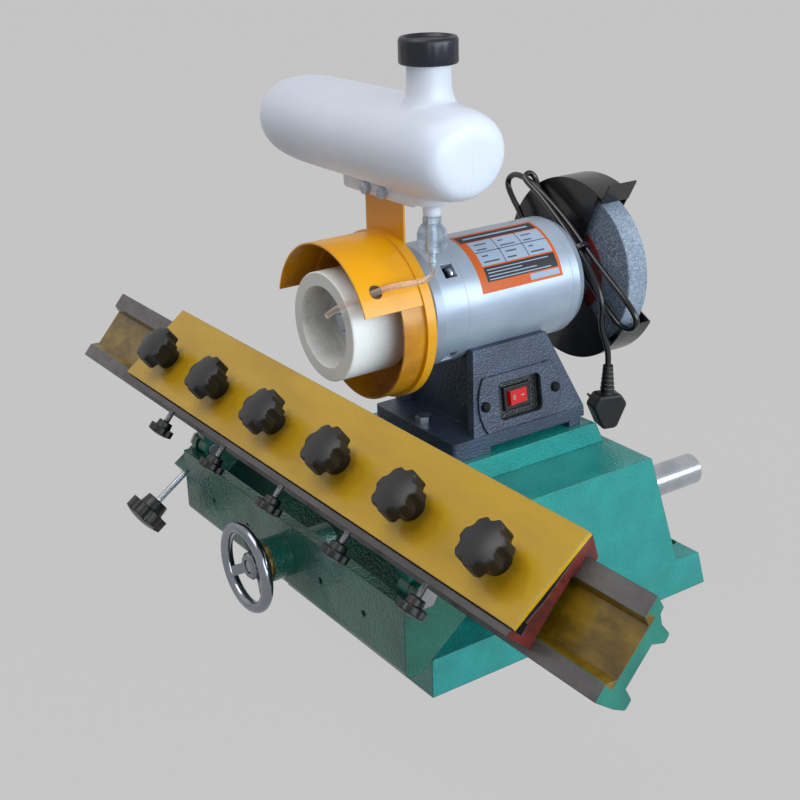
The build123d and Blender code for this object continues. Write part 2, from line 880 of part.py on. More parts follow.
def stud_axis(x):
    """Frame on a stud: Z out of the clamp plate, zero on the plate's top face."""
    frame = plate_frame(x) * Pos(stud_station, 0, 0)
    top = frame.position
    slope = math.radians(beam_slope - plate_slope)
    return Plane(
        origin=(top.X, top.Y, top.Z),
        x_dir=(1, 0, 0),
        z_dir=(0, -math.sin(slope), math.cos(slope)),
    )


def stud_seat_drop():
    """Distance from the plate's top down to the bottom of the studs' tapped holes."""
    return plate_thickness + plate_seat_drop + stud_depth


def push_axis(x):
    """Frame on a push screw: Z up the slope, zero at the middle of the rails."""
    frame = beam_frame(x) * Pos(0, push_height, 0)
    origin = frame.position
    slope = math.radians(beam_slope)
    return Plane(
        origin=(origin.X, origin.Y, origin.Z),
        x_dir=(1, 0, 0),
        z_dir=(0, math.cos(slope), math.sin(slope)),
    )


def make_clamp_studs():
    """Studs screwed into the carriage."""
    studs = []
    for x in knob_stations():
        studs.append(rod(stud_radius, -stud_seat_drop(), stud_stand, stud_axis(x)))
    return group(studs)


def make_clamp_plate():
    """Flat bar that clamps the knife, with a clearance hole for each stud."""
    first, last = carriage_span()
    face = outline_face([(0, 0), (plate_width, 0), (plate_width, -plate_thickness), (0, -plate_thickness)])
    frame = plate_frame(first)
    plate = extrude(frame * face, amount=last - first, dir=(1, 0, 0))
    for x in knob_stations():
        plate -= rod(stud_radius + bolt_gap, -plate_thickness - 1, 1, stud_axis(x))
    return plate


def make_star_knob(x):
    """One clamp knob on its stud."""
    knob = star_knob(knob_radius, knob_height, 7, stud_radius + running_gap, stud_stand + 1)
    return stud_axis(x) * knob


def make_push_screw(x):
    """One push screw with its small star knob."""
    axis = push_axis(x)
    grip_depth = push_knob_height - 3
    screw = rod(push_radius, push_knob_face - grip_depth, push_tip, axis)
    knob = star_knob(push_knob_radius, push_knob_height, 6, push_radius + press_gap, grip_depth)
    knob = axis * Pos(0, 0, push_knob_face) * Rot(180, 0, 0) * knob
    return group([screw, knob])


# ================================================================ saddle
def make_saddle_casting():
    """Slab that slides on the base, with the neck that reaches down through its slot."""
    half = saddle_width / 2
    low = body_height + slide_gap
    slab = across(
        [
            (saddle_front, low),
            (saddle_rear_low, low),
            (saddle_rear_high, saddle_top),
            (saddle_front, saddle_top),
        ],
        -half,
        half,
    )
    slab = fillet(slab.edges().filter_by(Axis.X).sort_by(Axis.Z)[-2:], 2)
    neck = block(-neck_width / 2, neck_width / 2, -neck_depth / 2, neck_depth / 2, neck_bottom, low + 1)
    saddle = slab + neck
    for y in foot_bolt_y:
        saddle -= Pos(0, y, 0) * rod(foot_bolt_radius + press_gap, saddle_top - 15, saddle_top + 1)
    return saddle


def make_slide_bracket():
    """Bracket under the base's top: a bridge with bosses for the bushes and the feed nut."""
    half = bar_spacing / 2
    depth = neck_depth / 2
    middle = feed_height
    bridge = block(-half, half, -depth, depth, middle - bracket_height / 2, middle + bracket_height / 2)
    bridge += block(-neck_width / 2, neck_width / 2, -depth, depth, middle, neck_bottom)
    for x in (-half, half):
        bridge += rod(bracket_boss_radius, -depth, depth, spindle(0, x, middle))
    bridge += rod(nut_boss_radius, -depth, depth, spindle(0, 0, screw_height))
    for x in (-half, half):
        bridge -= rod(slide_bush_radius + press_gap, -depth - 1, depth + 1, spindle(0, x, middle))
    return bridge - rod(feed_nut_radius + press_gap, -depth - 1, depth + 1, spindle(0, 0, screw_height))


def make_slide_bushes():
    """Plain bushes that run on the guide bars."""
    depth = neck_depth / 2
    bushes = []
    for x in (-bar_spacing / 2, bar_spacing / 2):
        axis = spindle(0, x, feed_height)
        bushes.append(tube(slide_bush_radius, bar_radius + running_gap, -depth, depth, axis))
    return group(bushes)


def make_feed_nut():
    """Bronze nut that the lead screw turns in."""
    depth = neck_depth / 2
    return tube(feed_nut_radius, screw_radius + running_gap, -depth, depth, spindle(0, 0, screw_height))


def pedestal_half_width(z):
    """Half width of the pedestal's sloping sides at a height."""
    share = (z - pedestal_foot_top) / (pedestal_top - pedestal_foot_top)
    foot = pedestal_foot_width / 2 - 1
    return foot + share * (pedestal_top_width / 2 - foot)


def pedestal_front_at(z):
    """Y of the side plates' front edge at a height."""
    share = (z - pedestal_foot_top) / (pedestal_top - pedestal_foot_top)
    return pedestal_front_low + share * (pedestal_front_high - pedestal_front_low)


def pedestal_rear_at(z):
    """Y of the pedestal's rear face at a height."""
    share = (z - pedestal_foot_top) / (pedestal_top - pedestal_foot_top)
    return pedestal_rear_low + share * (pedestal_rear_high - pedestal_rear_low)


def tapered_column(side_inset, front_inset, rear_inset, low, high):
    """Column with the pedestal's tapers, drawn in from its four faces."""
    side = across(
        [
            (pedestal_front_at(low) + front_inset, low),
            (pedestal_rear_at(low) - rear_inset, low),
            (pedestal_rear_at(high) - rear_inset, high),
            (pedestal_front_at(high) + front_inset, high),
        ],
        -pedestal_foot_width,
        pedestal_foot_width,
    )
    low_half = pedestal_half_width(low) - side_inset
    high_half = pedestal_half_width(high) - side_inset
    front = outline_face([(-low_half, low), (low_half, low), (high_half, high), (-high_half, high)])
    return side & extrude(Plane.XZ * front, amount=200, both=True)


def switch_frame(depth=0.0):
    """Frame on the pedestal's +X face at the switch: X along Y, Y up the slope, Z out."""
    lean = math.atan2(
        pedestal_foot_width / 2 - 1 - pedestal_top_width / 2, pedestal_top - pedestal_foot_top
    )
    normal = (math.cos(lean), 0, math.sin(lean))
    origin = (pedestal_half_width(cover_z), cover_y, cover_z)
    return Plane(Plane(origin=origin, x_dir=(0, 1, 0), z_dir=normal) * Pos(0, 0, depth))


def gland_frame():
    """Frame on the pedestal's -X face at the cord gland, Z out."""
    lean = math.atan2(
        pedestal_foot_width / 2 - 1 - pedestal_top_width / 2, pedestal_top - pedestal_foot_top
    )
    normal = (-math.cos(lean), 0, math.sin(lean))
    return Plane(origin=(-pedestal_half_width(gland_z), gland_y, gland_z), x_dir=(0, 1, 0), z_dir=normal)


def make_pedestal():
    """Cast pedestal: foot with its arch, tapered hollow column and the motor's cradle."""
    half = pedestal_foot_width / 2
    foot = block(
        -half, half, pedestal_foot_front, pedestal_foot_rear, saddle_top, pedestal_foot_top
    )
    foot = fillet(foot.edges().filter_by(Axis.Z), 5)
    column = tapered_column(0, 0, 0, pedestal_foot_top - 10, pedestal_top)
    column = column & block(-half, half, pedestal_foot_front, pedestal_rear_low, saddle_top, motor_z)
    pedestal = foot + column
    pedestal -= tapered_column(pedestal_wall, -40, 0, pedestal_foot_top, pedestal_top + 20) & block(
        -half, half, -150, pedestal_front_low + pedestal_recess + 4, pedestal_foot_top, motor_z
    )
    room_low = saddle_top + pedestal_arch_height + pedestal_floor
    room_front = pedestal_recess + pedestal_wall + 8
    pedestal -= tapered_column(
        pedestal_wall, room_front, pedestal_wall, room_low, motor_z - shell_radius - pedestal_wall
    )
    pedestal -= block(
        -half - 1,
        half + 1,
        pedestal_arch_front,
        pedestal_arch_rear,
        saddle_top - 1,
        saddle_top + pedestal_arch_height,
    )
    pedestal -= rod(shell_radius + press_gap, -200, 200, spindle())
    pedestal -= switch_frame() * Box(recess_length - 1, recess_height - 1, 40)
    for side in (-1, 1):
        hole = switch_frame() * Pos(side * cover_screw_reach, 0, 0)
        pedestal -= rod(case_screw_radius + press_gap, -7, 1, Plane(hole))
    pedestal -= rod(gland_radius + press_gap, -20, 2, gland_frame())
    for y in foot_bolt_y:
        pedestal -= Pos(0, y, 0) * rod(foot_bolt_radius + bolt_gap, saddle_top - 1, pedestal_foot_top + 1)
    return pedestal


def make_pedestal_bolts():
    """Hex bolts through the pedestal's foot: one on the front ledge, one inside the column."""
    room_low = saddle_top + pedestal_arch_height + pedestal_floor
    bolts = []
    for y, seat in zip(foot_bolt_y, (pedestal_foot_top, room_low)):
        length = seat - saddle_top + 12
        bolts.append(hex_bolt(foot_bolt_radius, 13, 5.5, length, Plane(origin=(0, y, seat))))
    return group(bolts)


def make_capacitor():
    """Run capacitor lying on the pedestal's floor."""
    room_low = saddle_top + pedestal_arch_height + pedestal_floor
    radius = 17.5
    return rod(radius, -28, 32, spindle(0, -24, room_low + radius))


# ================================================================ switch
def make_switch_cover():
    """Round-ended cover plate with a sunk tray for the switch."""
    plate = Circle(cover_radius) & Rectangle(2 * cover_radius, cover_height)
    cover = extrude(plate, amount=cover_thickness)
    outside = RectangleRounded(recess_length - recess_play, recess_height - recess_play, recess_corner)
    tray = extrude(outside, amount=-recess_depth)
    inside = RectangleRounded(
        recess_length - recess_play - 2 * tray_wall,
        recess_height - recess_play - 2 * tray_wall,
        recess_corner - tray_wall,
    )
    room = extrude(Pos(0, 0, cover_thickness) * inside, amount=-(cover_thickness + recess_depth - tray_wall))
    cover = cover + tray - room
    hole_length = bezel_length - 2 * bezel_lip + 2 * press_gap
    hole_height = bezel_height - 2 * bezel_lip + 2 * press_gap
    cover -= Pos(0, 0, -recess_depth) * Box(hole_length, hole_height, 4 * tray_wall)
    for side in (-1, 1):
        hole = rod(case_screw_radius + bolt_gap, -1, cover_thickness + 1)
        cover -= Pos(side * cover_screw_reach, 0, 0) * hole
    return switch_frame() * cover


def bezel_seat():
    """Height of the tray's floor over the pedestal's face."""
    return -recess_depth + tray_wall


def make_switch_bezel():
    """Switch body with its raised frame and the well for the rocker."""
    seat = bezel_seat()
    frame = Pos(0, 0, seat + bezel_stand / 2) * Box(bezel_length, bezel_height, bezel_stand)
    frame = chamfer(frame.faces().sort_by(Axis.Z)[-1].edges(), 1)
    body = Box(bezel_length - 2 * bezel_lip, bezel_height - 2 * bezel_lip, bezel_body_depth)
    body = Pos(0, 0, seat - bezel_body_depth / 2) * body
    well = Box(rocker_length + 2.4, rocker_height + 2 * rocker_side_gap, 2 * (bezel_stand + 6))
    pins = Pos(0, 0, seat + bezel_stand) * rocker_pins(running_gap)
    return switch_frame() * (frame + body - Pos(0, 0, seat) * well - pins)


def rocker_pins(grow):
    """Pivot pins of the rocker, zero at the frame's face, grown by a clearance."""
    length = rocker_height + 2 * (rocker_side_gap + rocker_pin_stand + grow)
    return Pos(0, 0, -rocker_pin_depth) * Rot(90, 0, 0) * Cylinder(rocker_pin_radius + grow, length)


def make_switch_rocker():
    """Rocker with a hollowed face, one end pressed in."""
    seat = bezel_seat() + bezel_stand
    half = rocker_length / 2
    profile = [
        (-half, 1.6),
        (0, 0.4),
        (half, 1.6),
        (half - 1.2, -5),
        (-half + 1.2, -5),
    ]
    body = extrude(Plane.XZ * outline_face(profile), amount=rocker_height / 2, both=True)
    tilt = Pos(0, 0, -rocker_pin_depth) * Rot(0, rocker_throw / 2, 0) * Pos(0, 0, rocker_pin_depth)
    return switch_frame(seat) * (tilt * body + rocker_pins(0))


# ================================================================ motor
def make_motor_shell():
    """Round motor shell."""
    return tube(shell_radius, shell_radius - shell_wall, shell_rear, shell_front, spindle())


def make_bell_front():
    """End bell of the wet side: rounded shoulder, hub for the guard and notches for the screws."""
    inner = shell_radius - shell_wall - press_gap
    bore = inner - bell_wall + 2
    hub = bell_front_hub
    profile = [
        (spindle_radius + 1, bell_front_end),
        (hub, bell_front_end),
        (hub, bell_front_end - 9),
        (shell_radius - 10, bell_front_end - 11),
        (shell_radius - 3, bell_front_end - 16),
        (shell_radius, bell_front_end - 23),
        (shell_radius, shell_front),
        (inner, shell_front),
        (inner, shell_front - bell_spigot),
        (bore, shell_front - bell_spigot),
        (bore, front_bearing - 6),
        (bearing_radius + 6, front_bearing),
        (bearing_radius + press_gap, front_bearing),
        (bearing_radius + press_gap, front_bearing + bearing_width),
        (spindle_radius + 1, front_bearing + bearing_width),
    ]
    bell = turned(profile, spindle())
    for location in screw_places():
        notch = Pos(0, 0, shell_front + 4 + screw_notch / 2) * Box(14, 13, screw_notch)
        bell -= spindle() * location * notch
        bell -= spindle() * location * rod(case_screw_radius + press_gap, shell_front - 20, shell_front + 5)
    bell = bell - guard_screw_holes(bell_front_end, -1, guard_screw_circle, 9)
    return bell


def screw_places():
    """Places of the bell screws round the spindle."""
    return PolarLocations(screw_circle, 4, start_angle=45)


def make_bell_rear():
    """End bell of the dry side: rounded shoulder and the neck that carries the dry guard."""
    inner = shell_radius - shell_wall - press_gap
    bore = inner - bell_wall + 2
    profile = [
        (spindle_radius + 1, bell_rear_end),
        (bell_neck_radius, bell_rear_end),
        (bell_neck_radius, bell_rear_face),
        (shell_radius - 22, bell_rear_face),
        (shell_radius - 10, bell_rear_face + 2.5),
        (shell_radius - 3, bell_rear_face + 7),
        (shell_radius, bell_rear_face + 14),
        (shell_radius, shell_rear),
        (inner, shell_rear),
        (inner, shell_rear + bell_spigot),
        (bore, shell_rear + bell_spigot),
        (bore, shell_rear - 2),
        (bearing_radius + 6, rear_bearing + bearing_width),
        (bearing_radius + press_gap, rear_bearing + bearing_width),
        (bearing_radius + press_gap, rear_bearing),
        (spindle_radius + 1, rear_bearing),
    ]
    bell = turned(profile, spindle())
    return bell - guard_screw_holes(bell_rear_end, 1, bell_neck_radius - 5, 9)


def make_stator():
    """Laminated stator pressed into the shell."""
    outer = shell_radius - shell_wall - press_gap
    return tube(outer, stator_bore, stator_rear, stator_front, spindle())


def make_rotor_core():
    """Rotor pack on the shaft."""
    outer = stator_bore - rotor_gap
    return tube(outer, spindle_radius + press_gap, stator_rear + 2, stator_front - 2, spindle())


def make_bearings():
    """Two ball bearings, each as one closed ring."""
    rings = []
    for start in (front_bearing, rear_bearing):
        ring = tube(bearing_radius, spindle_radius + running_gap, start, start + bearing_width, spindle())
        rings.append(ring)
    return group(rings)


def make_shaft():
    """Spindle through both wheels."""
    front = cup_back + cup_floor + outer_flange + cup_nut + spindle_nose
    rear = dry_far - outer_flange - dry_nut - 1
    profile = [
        (0, rear),
        (spindle_radius - 1, rear),
        (spindle_radius, rear + 1),
        (spindle_radius, front - 1),
        (spindle_radius - 1, front),
        (0, front),
    ]
    return turned(profile, spindle())


def make_case_screws():
    """Pan-head screws of the motor bell and the switch cover."""
    screws = []
    for location in screw_places():
        frame = Plane(spindle().location * location * Pos(0, 0, shell_front + 4))
        screws.append(pan_screw(case_screw_radius, case_screw_head, 3, 22, frame))
    for side in (-1, 1):
        seat = Plane(switch_frame().location * Pos(side * cover_screw_reach, 0, cover_thickness))
        screws.append(pan_screw(case_screw_radius, case_screw_head, 3, 8, seat))
    return group(screws)


# ================================================================ wheels
def make_cup_wheel():
    """Cup-shaped grinding wheel."""
    profile = [
        (spindle_radius + press_gap, cup_back),
        (cup_radius - 3, cup_back),
        (cup_radius, cup_back + 3),
        (cup_radius, cup_front - 1),
        (cup_radius - 1, cup_front),
        (cup_mouth_radius, cup_front),
        (cup_mouth_radius - 2, cup_back + cup_floor + 4),
        (cup_mouth_radius - 6, cup_back + cup_floor),
        (spindle_radius + press_gap, cup_back + cup_floor),
    ]
    return turned(profile, spindle())


def make_dry_wheel():
    """Straight grinding wheel."""
    profile = [
        (spindle_radius + press_gap, dry_far),
        (dry_radius - 1, dry_far),
        (dry_radius, dry_far + 1),
        (dry_radius, dry_near - 1),
        (dry_radius - 1, dry_near),
        (spindle_radius + press_gap, dry_near),
    ]
    return turned(profile, spindle())


def make_wheel_flanges():
    """Clamping flanges on both sides of each wheel."""
    bore = spindle_radius + press_gap
    spans = [
        (cup_flange_radius, bell_front_end + sheet + flange_gap, cup_back),
        (cup_flange_radius, cup_back + cup_floor, cup_back + cup_floor + outer_flange),
        (dry_flange_radius, dry_near, guard_near - sheet - flange_gap),
        (dry_flange_radius, dry_far - outer_flange, dry_far),
    ]
    return group([tube(radius, bore, low, high, spindle()) for radius, low, high in spans])


def make_spindle_nuts():
    """Hex nuts that clamp the wheels."""
    nuts = []
    cup_seat = cup_back + cup_floor + outer_flange
    dry_seat = dry_far - outer_flange
    for low, high in ((cup_seat, cup_seat + cup_nut), (dry_seat - dry_nut, dry_seat)):
        hexagon = RegularPolygon(nut_flats / 2 + 3, 6, major_radius=False)
        nut = extrude(Pos(0, 0, low) * hexagon, amount=high - low)
        nuts.append(spindle() * nut - rod(spindle_radius + press_gap, low - 1, high + 1, spindle()))
    return group(nuts)


# ================================================================ wet guard
def guard_screw_holes(station, side, circle, depth):
    """Bores for the three countersunk screws that hold a guard on its bell."""
    holes = Part()
    for location in PolarLocations(circle, 3, start_angle=90):
        low, high = sorted((station + side * depth, station - side * (sheet + 1)))
        holes += spindle() * location * rod(guard_screw_radius + press_gap, low, high)
    return holes


def countersunk_screws(station, side, circle, grow=0.0):
    """Three countersunk screws, their heads flush with the guard's wheel side."""
    screws = []
    head = station - side * sheet
    for location in PolarLocations(circle, 3, start_angle=90):
        profile = [
            (0, head),
            (guard_screw_radius + 1.3 + grow, head),
            (guard_screw_radius + grow, head + side * 1.3),
            (guard_screw_radius + grow, station + side * 8),
            (0, station + side * 8),
        ]
        screws.append(spindle() * location * turned(profile))
    return screws


def make_guard_screws():
    """Countersunk screws of both guards."""
    wet = countersunk_screws(bell_front_end, -1, guard_screw_circle)
    dry = countersunk_screws(bell_rear_end, 1, bell_neck_radius - 5)
    return group(wet + dry)


def make_wet_guard():
    """Sheet guard of the cup wheel: back disc with a rim, round band and half-round hood."""
    back = bell_front_end
    axis = spindle()
    guard = tube(cap_radius, spindle_radius + 1, back, back + sheet, axis)
    guard += tube(cap_radius, hood_radius - 2 * sheet, back, cap_front, axis)
    guard -= rod(hood_radius - 2 * sheet, back + sheet, cap_front + 1, axis)
    guard += tube(hood_radius - sheet, hood_radius - 2 * sheet, cap_front - 1, band_front, axis)
    hood = tube(hood_radius, hood_radius - sheet, cap_front - 1, hood_front, axis)
    guard += hood & sector(hood_radius + 5, hood_start, hood_end, back, hood_front, axis)
    x, z = polar(1, hose_hole_angle)
    hole = Plane(origin=(0, -hose_hole_station, motor_z), x_dir=(0, 1, 0), z_dir=(x, 0, z))
    guard -= rod(hose_hole_radius, hood_radius - 8, hood_radius + 5, hole)
    for screw in countersunk_screws(bell_front_end, -1, guard_screw_circle, press_gap):
        guard -= screw
    return guard


def make_tank_bracket():
    """Flat strip that carries the tank above the guard."""
    half = bracket_width / 2
    front = -bell_front_end
    strip = block(-half, half, front, front + bracket_thickness, bracket_bottom, bracket_top)
    strip = fillet(strip.edges().filter_by(Axis.Y), 4)
    for x in (-tank_bolt_x, tank_bolt_x):
        strip -= rod(tank_bolt_radius + bolt_gap, -200, 200, spindle(0, x, tank_bolt_z))
    return strip


# ================================================================ tank
def rounded_tank(inset):
    """Barrel of the tank, drawn in by the inset."""
    length = tank_right - tank_left - 2 * inset
    height = tank_high - tank_low - 2 * inset
    body = Box(length, tank_depth - 2 * inset, height)
    edge = min(tank_edge - inset, height / 2 - 1)
    body = fillet(body.edges().filter_by(Axis.X), edge)
    ends = body.faces().filter_by(Axis.X).edges()
    body = fillet(ends, min(tank_end - inset, edge - 1))
    middle = ((tank_left + tank_right) / 2, tank_y, (tank_low + tank_high) / 2)
    return Pos(*middle) * body


def make_water_tank():
    """Blow-moulded tank with its neck, spout and mounting rib."""
    neck = Plane(origin=(tank_neck_x, tank_y, 0))
    spout = Plane(origin=(spout_x, tank_y, 0))
    rib_back = -bell_front_end
    tank = rounded_tank(0)
    tank += rod(tank_neck_radius, tank_high - 12, tank_neck_top + cap_height - 6, neck)
    tank += turned(
        [
            (0, tank_high - 4),
            (tank_neck_radius + 7, tank_high - 4),
            (tank_neck_radius + 1, tank_high + 8),
            (0, tank_high + 8),
        ],
        neck,
    )
    tank += rod(spout_radius, spout_bottom, tank_low + 10, spout)
    half_rib = tank_rib_width / 2
    rib_front = rib_back - tank_rib_thickness
    tank += block(-half_rib, half_rib, rib_front, rib_back, tank_rib_bottom, tank_low + 6)
    tank -= rounded_tank(tank_wall)
    tank -= rod(tank_neck_radius - tank_wall, tank_high - 20, tank_neck_top + cap_height, neck)
    tank -= rod(cock_bore + press_gap, spout_bottom - 1, tank_low + 12, spout)
    for x in (-tank_bolt_x, tank_bolt_x):
        tank -= rod(tank_bolt_radius + bolt_gap, -200, 200, spindle(0, x, tank_bolt_z))
    return tank


def make_tank_bolts():
    """Bolts through the tank's rib and the bracket strip."""
    bolts = []
    for x in (-tank_bolt_x, tank_bolt_x):
        seat = spindle(bell_front_end + tank_rib_thickness, x, tank_bolt_z)
        bolts.append(hex_bolt(tank_bolt_radius, 10, 4, tank_rib_thickness + 6, seat))
    return group(bolts)


def make_tank_cap():
    """Screw cap over the neck."""
    neck = Plane(origin=(tank_neck_x, tank_y, 0))
    top = tank_neck_top + cap_height
    profile = [
        (0, tank_neck_top),
        (cap_outer, tank_neck_top),
        (cap_outer, top - 2),
        (cap_outer - 2, top),
        (0, top),
    ]
    hollow = rod(tank_neck_radius + 0.3, tank_neck_top - 1, top - 4, neck)
    return turned(profile, neck) - hollow


def make_cock_body():
    """Drain cock: spigot, hexagon, stem and barb."""
    axis = Plane(origin=(spout_x, tank_y, 0))
    hex_low = spout_bottom - cock_hex_height
    hexagon = RegularPolygon(cock_hex / 2, 6, major_radius=False)
    body = axis * extrude(Pos(0, 0, hex_low) * hexagon, amount=cock_hex_height)
    body += rod(cock_bore, spout_bottom - 1, spout_bottom + 14, axis)
    body += rod(cock_stem, cock_tip, hex_low + 1, axis)
    for ring in range(2):
        low = cock_tip + 1 + 2.5 * ring
        body += turned([(0, low), (cock_stem, low), (barb_radius, low + 2), (0, low + 2)], axis)
    return body


def make_cock_handle():
    """Butterfly handle that turns on the cock's stem."""
    top = spout_bottom - cock_hex_height - 0.3
    low = top - wing_height
    axis = Plane(origin=(spout_x, tank_y, 0))
    ring = rod(cock_stem + 1.8, low + 1, top)
    wing_half = wing_width / 4 + 1
    wing_reach = wing_width / 4 - 1
    wings = Part()
    for side in (-1, 1):
        wing = Pos(side * wing_reach, low + wing_height / 2) * Ellipse(wing_half, wing_height / 2)
        wings += extrude(Plane.XZ * wing, amount=wing_thickness / 2, both=True)
    handle = ring + wings - rod(cock_stem + 0.15, low - 5, top + 5)
    return axis * Rot(0, 0, 35) * handle


# ================================================================ dry guard
def make_dry_guard():
    """Black sheet guard of the dry wheel: two side discs and a rim, open at the front."""
    axis = spindle()
    near = guard_near
    inner_disc = rod(guard_radius, near - sheet, near, axis)
    top = polar(guard_radius + 10, guard_mouth_top)
    bottom = polar(guard_radius + 10, guard_mouth_bottom - 16)
    mouth = outline_face([(22, 38), (38, 78), top, (200, 160), (200, -120), bottom, (58, -56), (20, -23)])
    inner_disc -= axis * extrude(Pos(0, 0, near - sheet - 1) * mouth, amount=sheet + 2, dir=(0, 0, 1))
    rim = tube(guard_radius, guard_radius - sheet, guard_far, near, axis)
    rim -= sector(guard_radius + 5, guard_mouth_bottom, guard_mouth_top, guard_far - 1, near + 1, axis)
    far = guard_far
    cover = turned(
        [
            (0, far - guard_dome_depth),
            (guard_dome_radius - 5, far - guard_dome_depth),
            (guard_dome_radius, far),
            (guard_radius, far),
            (guard_radius, far + sheet),
            (guard_dome_radius - sheet, far + sheet),
            (guard_dome_radius - 5 - sheet, far - guard_dome_depth + sheet),
            (0, far - guard_dome_depth + sheet),
        ],
        axis,
    )
    window = sector(guard_radius + 5, guard_mouth_bottom, guard_mouth_top, far - 30, far + 5, axis)
    window -= rod(guard_dome_radius + 8, far - 40, far + 10, axis)
    guard = inner_disc + rim + (cover - window)
    guard -= rod(guard_neck_hole, near - 20, near + 1, axis)
    for screw in countersunk_screws(bell_rear_end, 1, bell_neck_radius - 5, press_gap):
        guard -= screw
    return guard


def make_spark_plate():
    """Radial spark plate at the upper end of the guard's rim."""
    axis = spindle()
    width_low = guard_far + 1
    width_high = guard_near - 1
    plate = Pos((spark_inner + spark_outer) / 2, sheet / 2, (width_low + width_high) / 2) * Box(
        spark_outer - spark_inner, sheet, width_high - width_low
    )
    return axis * Rot(0, 0, guard_mouth_top) * Pos(0, -sheet, 0) * plate


# ================================================================ cord and hose
def corner_radii(points):
    """Radius for each corner: as large as its two runs allow."""
    radii = []
    for before, here, after in zip(points, points[1:], points[2:]):
        run_in = Vector(*here) - Vector(*before)
        run_out = Vector(*after) - Vector(*here)
        turn = math.radians(run_in.get_angle(run_out))
        radii.append(0.45 * min(run_in.length, run_out.length) / math.tan(turn / 2))
    return radii


def soft_tube(points, radius, name):
    """Round tube along straight runs joined by arcs."""
    radii = corner_radii(points)
    path = FilletPolyline(*points, radius=radii)
    start = Plane(origin=points[0], z_dir=Vector(*points[1]) - Vector(*points[0]))
    solid = sweep(start * Circle(radius), path=path)
    expected = math.pi * radius**2 * path.length
    print(f"{name}: length {path.length:.0f}, volume {solid.volume:.0f} of {expected:.0f}")
    print("  radii", [round(value) for value in radii])
    return solid


def cord_points():
    """Route of the mains cord from its gland to its plug."""
    out = gland_frame() * Pos(0, 0, gland_flange + gland_taper)
    start = out.position
    near = (out * Pos(0, 0, 15)).position
    return [
        (start.X, start.Y, start.Z),
        (near.X, near.Y, near.Z),
        (-112, 3, 215),
        (-121, 22, 216),
        (-122, 44, 229),
        (-112, 62, 252),
        (-94, 74, 274),
        (-70, 78.5, 296),
        (-53, 78.3, 322),
        (-57, 77.8, 346),
        (-71, 77.6, 360),
        (-80, 77.6, 374),
        (-70, 77.6, 384),
        (-52, 77.6, 383),
        (-28, 77.6, 373),
        (3, 77.6, 356),
        (30, 77.6, 336),
        (62, 77.6, 313),
        (90, 78.2, 295),
        (101, 80.5, 280),
        (90, 83, 268.5),
        (73, 83.8, 268.5),
        (52, 83.8, 284),
        (31, 83.8, 303),
        (10, 83.8, 327),
        (-15, 83.8, 351),
        (-32, 83.8, 366),
        (-42, 83.8, 377),
        (-46.5, 83.8, 385),
        (-47.6, 77.5, 388.8),
        (-46, 71.2, 385.2),
        (-40, 71.2, 380.5),
        (-28, 71.2, 375),
        (-11, 71.2, 364),
        (9, 71.2, 350),
        (34, 71.2, 330),
        (55, 71.2, 310),
        (65, 71.2, 289),
        (62, 72.5, 267),
        (63.5, 78, 251),
        (65, 80, 240),
        (65, 80, 229),
    ]


def hose_points():
    """Route of the water hose from the barb, through the hood's hole, to the cup's mouth."""
    return [
        (spout_x, tank_y, cock_tip),
        (spout_x, tank_y, 353.5),
        (71.2, -126.0, 347.6),
        (69.0, -137.0, 346.0),
        (62.5, -157.5, 350.2),
        (51.1, -173.0, 341.8),
        (43.0, -184.0, 336.5),
        (32.0, -189.5, 330.0),
        (21.0, -190.0, 322.5),
    ]


def make_cord_gland():
    """Strain relief of the mains cord in the pedestal's wall."""
    profile = [
        (0, -9),
        (gland_radius, -9),
        (gland_radius, 0),
        (gland_flange_radius, 0),
        (gland_flange_radius, gland_flange),
        (gland_radius, gland_flange),
        (cord_radius + 1, gland_flange + gland_taper),
        (0, gland_flange + gland_taper),
    ]
    return turned(profile, gland_frame())


def make_mains_plug():
    """Moulded right-angle plug hanging from the cord, with three flat pins."""
    end = Vector(*cord_points()[-1])
    back = math.radians(plug_facing)
    across = (-math.sin(back), math.cos(back), 0)
    outward = (math.cos(back), math.sin(back), 0)
    frame = Plane(origin=end, x_dir=across, z_dir=outward)
    half = plug_width / 2
    top = -boot_length
    bottom = top - plug_height
    shield = outline_face(
        [
            (-half * 0.62, top),
            (half * 0.62, top),
            (half, top - plug_height * 0.32),
            (half * 0.42, bottom),
            (-half * 0.42, bottom),
            (-half, top - plug_height * 0.32),
        ]
    )
    shield = fillet(shield.vertices(), 5)
    body = extrude(shield, amount=plug_thickness / 2, both=True)
    body = chamfer(body.faces().sort_by(Axis.Z)[-1].edges(), 1.5)
    boot = turned([(0, 0), (4.6, 0), (6.4, -boot_length - 2), (0, -boot_length - 2)], Plane.XY)
    body += Plane(origin=(0, 0, 0), x_dir=(1, 0, 0), z_dir=(0, 1, 0)) * boot
    middle = top - plug_height * 0.45
    for x, y, turn in ((-6, 3, 30), (6, 3, -30), (0, -8, 0)):
        blade = Rot(0, 0, turn) * Box(1.8, 6.5, 18)
        body += Pos(x, middle + y, -plug_thickness / 2 - 8.5) * blade
    return frame * body


